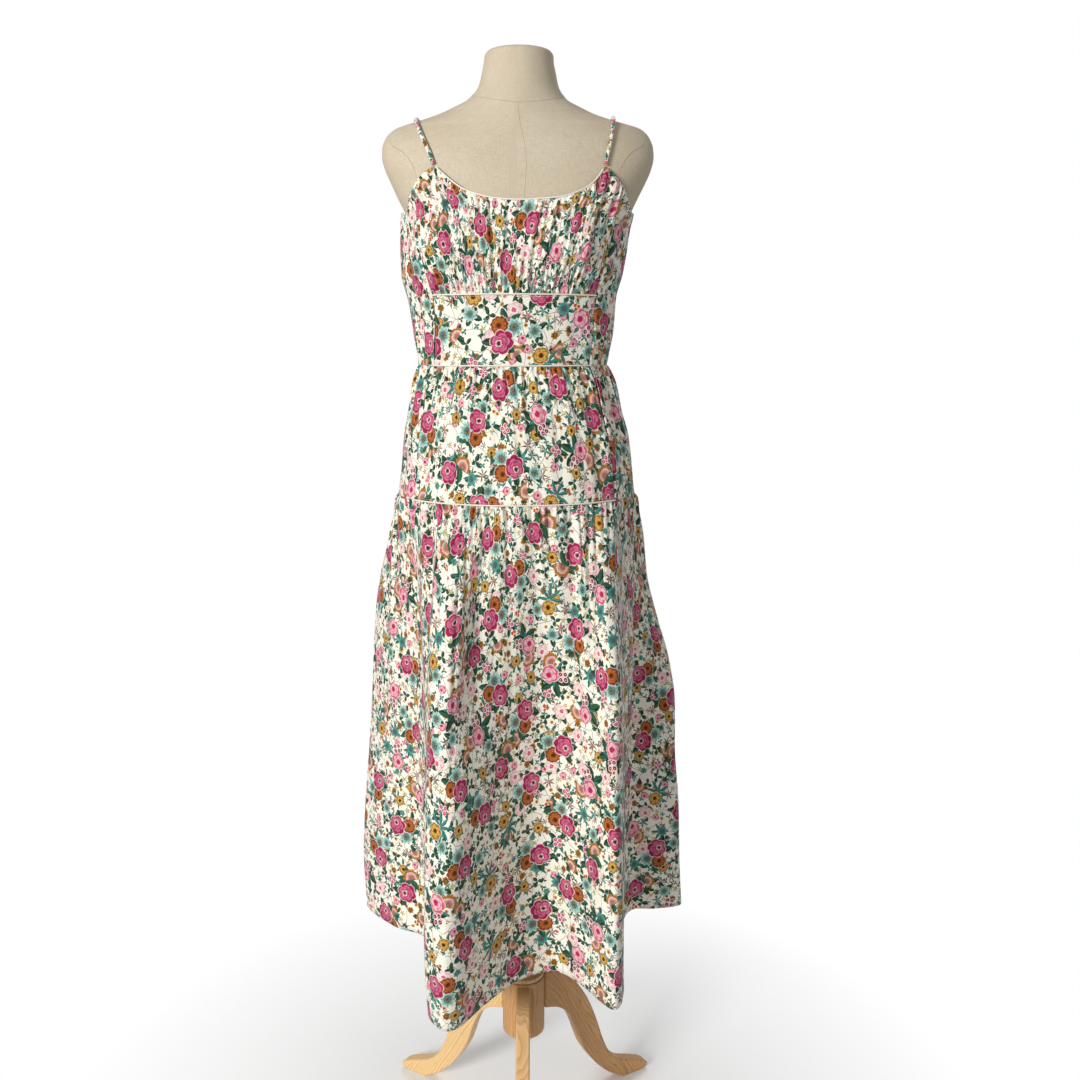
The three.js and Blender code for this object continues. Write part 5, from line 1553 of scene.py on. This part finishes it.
class SUNDRESS_OT_form(bpy.types.Operator):
    """Cover the padded torso and neck in linen, with its seams"""

    bl_idname = "sundress.form"
    bl_label = "Dress Form"

    def execute(self, context):
        make_materials(context.scene.sundress_sizes)
        sides = 150
        low, high = FORM_SECTIONS[-1][0], FORM_SECTIONS[0][0]
        # Rows lie closer at the shoulders and the neck, which curve most.
        levels = np.concatenate([
            [low], np.linspace(low + 0.4, 1490, 96), np.linspace(1490, 1562, 60)[1:],
            np.linspace(1562, high, 22)[1:],
        ])
        z = levels[:, None] * np.ones(sides)[None, :]
        turn = np.linspace(0, 360, sides, endpoint=False)[None, :] * np.ones_like(z)
        points = form_point(turn, z)
        # The cover is drawn over the rounded rims at the neck's top and the torso's base.
        for row, inward in ((0, 6.0), (1, 1.5), (-1, 3.0), (-2, 0.8)):
            centre = points[row].mean(axis=0)
            reach = points[row, :, :2] - centre[:2]
            length = np.linalg.norm(reach, axis=-1, keepdims=True)
            points[row, :, :2] = centre[:2] + reach * (1 - inward / length)
        around = path_lengths(form_point(turn[:1], np.full_like(turn[:1], 1400.0)), 1)
        up = path_lengths(points, 0)
        cut = np.stack([np.broadcast_to(around, up.shape), up], -1) * MM / CM
        count = points.shape[0]
        flat_points = points.reshape(-1, 3)
        ends = np.array([points[0].mean(axis=0), points[-1].mean(axis=0)])
        faces = grid_faces(count, sides, closed=True)
        base, top = len(flat_points), len(flat_points) + 1
        last = (count - 1) * sides
        for c in range(sides):
            faces.append((base, (c + 1) % sides, c))
            faces.append((top, last + c, last + (c + 1) % sides))
        mesh = new_mesh("form_body", place_in_frame(np.concatenate([flat_points, ends])), faces)
        middle = flat_points[:1, :2] * MM / CM
        cut = np.concatenate([cut.reshape(-1, 2), middle, middle])
        set_cut_map(mesh, cut)
        shade_smooth(mesh)
        mesh.materials.append(materials["linen"])
        mesh.set_sharp_from_angle(angle=math.radians(55))
        finish_piece(link(bpy.data.objects.new("form_body", mesh)), "form_torso")
        self.seams()
        return {"FINISHED"}

    def seams(self):
        lines = []
        for turn, top in CENTRE_SEAMS:
            heights = np.linspace(top, CENTRE_SEAM_BASE, 160)
            points = form_point(np.full_like(heights, turn), heights)
            points[:, 1] += 0.45 * np.sign(-points[:, 1])
            lines.append(points)
        turns = np.linspace(-180, 180, 181)
        neck = form_point(turns, blend_rows(NECK_SEAM, turns)[0])
        reach = np.linalg.norm(neck[:, :2], axis=-1, keepdims=True)
        neck[:, :2] *= 1 - 0.4 / reach
        lines.append(neck)
        for mirror in (-1, 1):
            points = []
            for share, z, side in ARMHOLE_SEAM:
                left, right = blend_rows(FORM_SECTIONS, np.array(float(z)))[:2]
                x = (right - left) / 2 + mirror * share * (left + right) / 2
                points.append(on_form(x, z, side, -0.35))
            lines.append(smooth_path(points, 8))
        # Each seam is a thin raised cord in the darker linen, whose colour is painted shade standing in
        # for the seam's groove
        piece = grow("form_seams", lines, tree_for("cord"),
                     {"Radius": FORM_SEAM_RADIUS, "Sides": 8, "Finish": materials["linen_seam"]})
        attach(piece, "root")


class SUNDRESS_OT_stand(bpy.types.Operator):
    """Turn the hub, collar and pole, and saw the three curved legs"""

    bl_idname = "sundress.stand"
    bl_label = "Stand"

    def execute(self, context):
        make_materials(context.scene.sundress_sizes)
        low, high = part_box("pole")
        pole_profile = [(POLE_RADIUS, low.z / MM), (POLE_RADIUS, high.z / MM)]
        turned = [
            ("stand_hub", "hub", HUB_PROFILE, 72, "dark_wood"),
            ("stand_collar", "hub_collar", COLLAR_PROFILE, 72, "light_wood"),
            ("stand_pole", "pole", pole_profile, 48, "light_wood"),
        ]
        for name, node, profile, sides, wood in turned:
            finish_piece(turned_piece(name, profile, sides, materials[wood]), node)
        for node, turn in LEG_TURNS.items():
            leg = self.leg("stand_" + node, math.radians(turn), materials[LEG_WOOD[node]])
            finish_piece(leg, node)
        return {"FINISHED"}

    def leg(self, name, turn, material):
        outline = np.concatenate([smooth_path(LEG_TOP, 5), LEG_TOE, smooth_path(LEG_UNDERSIDE, 5)])
        count = len(outline)
        half = LEG_WIDTH / 2
        local = np.concatenate([
            np.stack([outline[:, 0], np.full(count, -half), outline[:, 1]], -1),
            np.stack([outline[:, 0], np.full(count, half), outline[:, 1]], -1),
        ])
        turned = local.copy()
        turned[:, 0] = local[:, 0] * math.cos(turn) - local[:, 1] * math.sin(turn)
        turned[:, 1] = local[:, 0] * math.sin(turn) + local[:, 1] * math.cos(turn)
        faces = [tuple(range(count)), tuple(reversed(range(count, 2 * count)))]
        for i in range(count):
            after = (i + 1) % count
            faces.append((after, i, count + i, count + after))
        mesh = new_mesh(name, place_in_frame(turned), faces)
        # The board's grain runs down the leg, at about 60 degrees to the floor.
        steep = math.radians(GRAIN_SLOPE)
        along = local[:, 0] * math.cos(steep) + local[:, 2] * math.sin(steep)
        up = -local[:, 0] * math.sin(steep) + local[:, 2] * math.cos(steep)
        set_grain(mesh, np.stack([along, local[:, 1], up], -1) + np.array([turn * 90, 4, 9]))
        mesh.materials.append(material)
        piece = link(bpy.data.objects.new(name, mesh))
        round_over = piece.modifiers.new("Rounded Edges", "BEVEL")
        round_over.width = LEG_ROUNDING * MM
        round_over.segments = 3
        round_over.limit_method = "ANGLE"
        round_over.angle_limit = math.radians(60)
        shade_smooth(mesh)
        mesh.set_sharp_from_angle(angle=math.radians(60))
        return piece


class SUNDRESS_OT_stitches(bpy.types.Operator):
    """Run the rows of stitches beside the midriff's seams and the hip seam"""

    bl_idname = "sundress.stitches"
    bl_label = "Stitches"

    def execute(self, context):
        sizes = sizes_now(context)
        rows = {
            "midriff_stitches": [
                seam_line(np.linspace(-45, 51, 120), UNDERBUST_Z - STITCH_OFFSET, 0.25),
                seam_line(np.linspace(-51, 51, 120), WAIST_Z + STITCH_OFFSET, 0.25),
            ],
            "hip_stitches": [
                seam_line(np.linspace(SEAM_LEFT, SEAM_RIGHT + 0.1, 140), HIP_Z + STITCH_OFFSET, 0.5),
            ],
        }
        for name, lines in rows.items():
            piece = grow(name, lines, tree_for("stitches"), {
                "Pitch": sizes.stitch_pitch, "Length": STITCH_LENGTH, "Thread": STITCH_THREAD,
                "Unevenness": STITCH_UNEVENNESS, "Seed": 7, "Finish": materials["piping"]})
            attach(piece, "root")
        return {"FINISHED"}


class SUNDRESS_OT_stage(bpy.types.Operator):
    """Set the pale floor, the soft lights and the camera"""

    bl_idname = "sundress.stage"
    bl_label = "Stage"

    def execute(self, context):
        self.floor()
        self.camera()
        for name, place, size, power in LIGHTS:
            lamp = bpy.data.lights.new(name, "AREA")
            lamp.shape = "DISK"
            lamp.size = size
            lamp.energy = power
            light = link(bpy.data.objects.new(name, lamp))
            light.location = place
            aim = Vector(LIGHTS_AIM) - light.location
            light.rotation_euler = aim.to_track_quat("-Z", "Y").to_euler()
        world = bpy.data.worlds.new("Studio")
        world.use_nodes = True
        world.node_tree.nodes.clear()
        seen = add(world.node_tree, "ShaderNodeBackground", {"Color": (1, 1, 1, 1), "Strength": 1.0})
        lit = add(world.node_tree, "ShaderNodeBackground",
                  {"Color": (0.95, 0.97, 1, 1), "Strength": 0.37})
        path = add(world.node_tree, "ShaderNodeLightPath")
        both = add(world.node_tree, "ShaderNodeMixShader", {0: path.outputs[0], 1: lit, 2: seen})
        add(world.node_tree, "ShaderNodeOutputWorld", {"Surface": both})
        bpy.context.scene.world = world
        bpy.context.scene.view_settings.view_transform = "Standard"
        return {"FINISHED"}

    def floor(self):
        angles = [2 * math.pi * i / FLOOR_SIDES for i in range(FLOOR_SIDES)]
        # The floor lies half a millimetre under the feet.
        ring = [(FLOOR_RADIUS * math.cos(a), FLOOR_RADIUS * math.sin(a), -0.5 * MM) for a in angles]
        mesh = new_mesh("studio_floor", ring, [tuple(range(FLOOR_SIDES))])
        material, tree, surface = new_material("Studio Paper")
        surface.inputs["Base Color"].default_value = rgba("#F7F7F5")
        surface.inputs["Roughness"].default_value = 0.9
        # The paper fades into the white background away from the stand.
        place = add(tree, "ShaderNodeTexCoord").outputs["Object"]
        far = add(tree, VECTOR, {0: place}, operation="LENGTH")
        fade = add(tree, RANGE, {0: far.outputs["Value"], 1: 0.2, 2: 0.75})
        clear = add(tree, "ShaderNodeBsdfTransparent")
        both = add(tree, "ShaderNodeMixShader", {0: fade, 1: surface, 2: clear})
        output = next(n for n in tree.nodes if n.type == "OUTPUT_MATERIAL")
        tree.links.new(both.outputs[0], output.inputs["Surface"])
        mesh.materials.append(material)
        link(bpy.data.objects.new("studio_floor", mesh))

    def camera(self):
        lens = bpy.data.cameras.new("camera")
        lens.lens = CAMERA_LENS
        lens.sensor_width = 36
        camera = link(bpy.data.objects.new("camera", lens))
        place = place_in_frame([CAMERA_PLACE])[0]
        camera.location = Vector(place)
        camera.rotation_euler = (math.radians(90 - CAMERA_PITCH), 0, 0)
        bpy.context.scene.camera = camera


OPERATORS = [
    SUNDRESS_OT_stage, SUNDRESS_OT_form, SUNDRESS_OT_stand, SUNDRESS_OT_bodice,
    SUNDRESS_OT_skirt, SUNDRESS_OT_straps, SUNDRESS_OT_piping, SUNDRESS_OT_stitches,
]


class SUNDRESS_PT_panel(bpy.types.Panel):
    """Sizes, colours and build steps of the sundress"""

    bl_label = "Sundress"
    bl_idname = "SUNDRESS_PT_panel"
    bl_space_type = "VIEW_3D"
    bl_region_type = "UI"
    bl_category = "Sundress"

    def draw(self, context):
        sizes = context.scene.sundress_sizes
        for name in SundressSizes.__annotations__:
            self.layout.prop(sizes, name)
        for operator in OPERATORS:
            self.layout.operator(operator.bl_idname)


CLASSES = [SundressSizes, *OPERATORS, SUNDRESS_PT_panel]


def register():
    for item in CLASSES:
        bpy.utils.register_class(item)
    bpy.types.Scene.sundress_sizes = bpy.props.PointerProperty(type=SundressSizes)


def unregister():
    del bpy.types.Scene.sundress_sizes
    for item in reversed(CLASSES):
        bpy.utils.unregister_class(item)


def main():
    register()
    for operator in OPERATORS:
        group, name = operator.bl_idname.split(".")
        getattr(getattr(bpy.ops, group), name)()


if __name__ == "__main__":
    main()
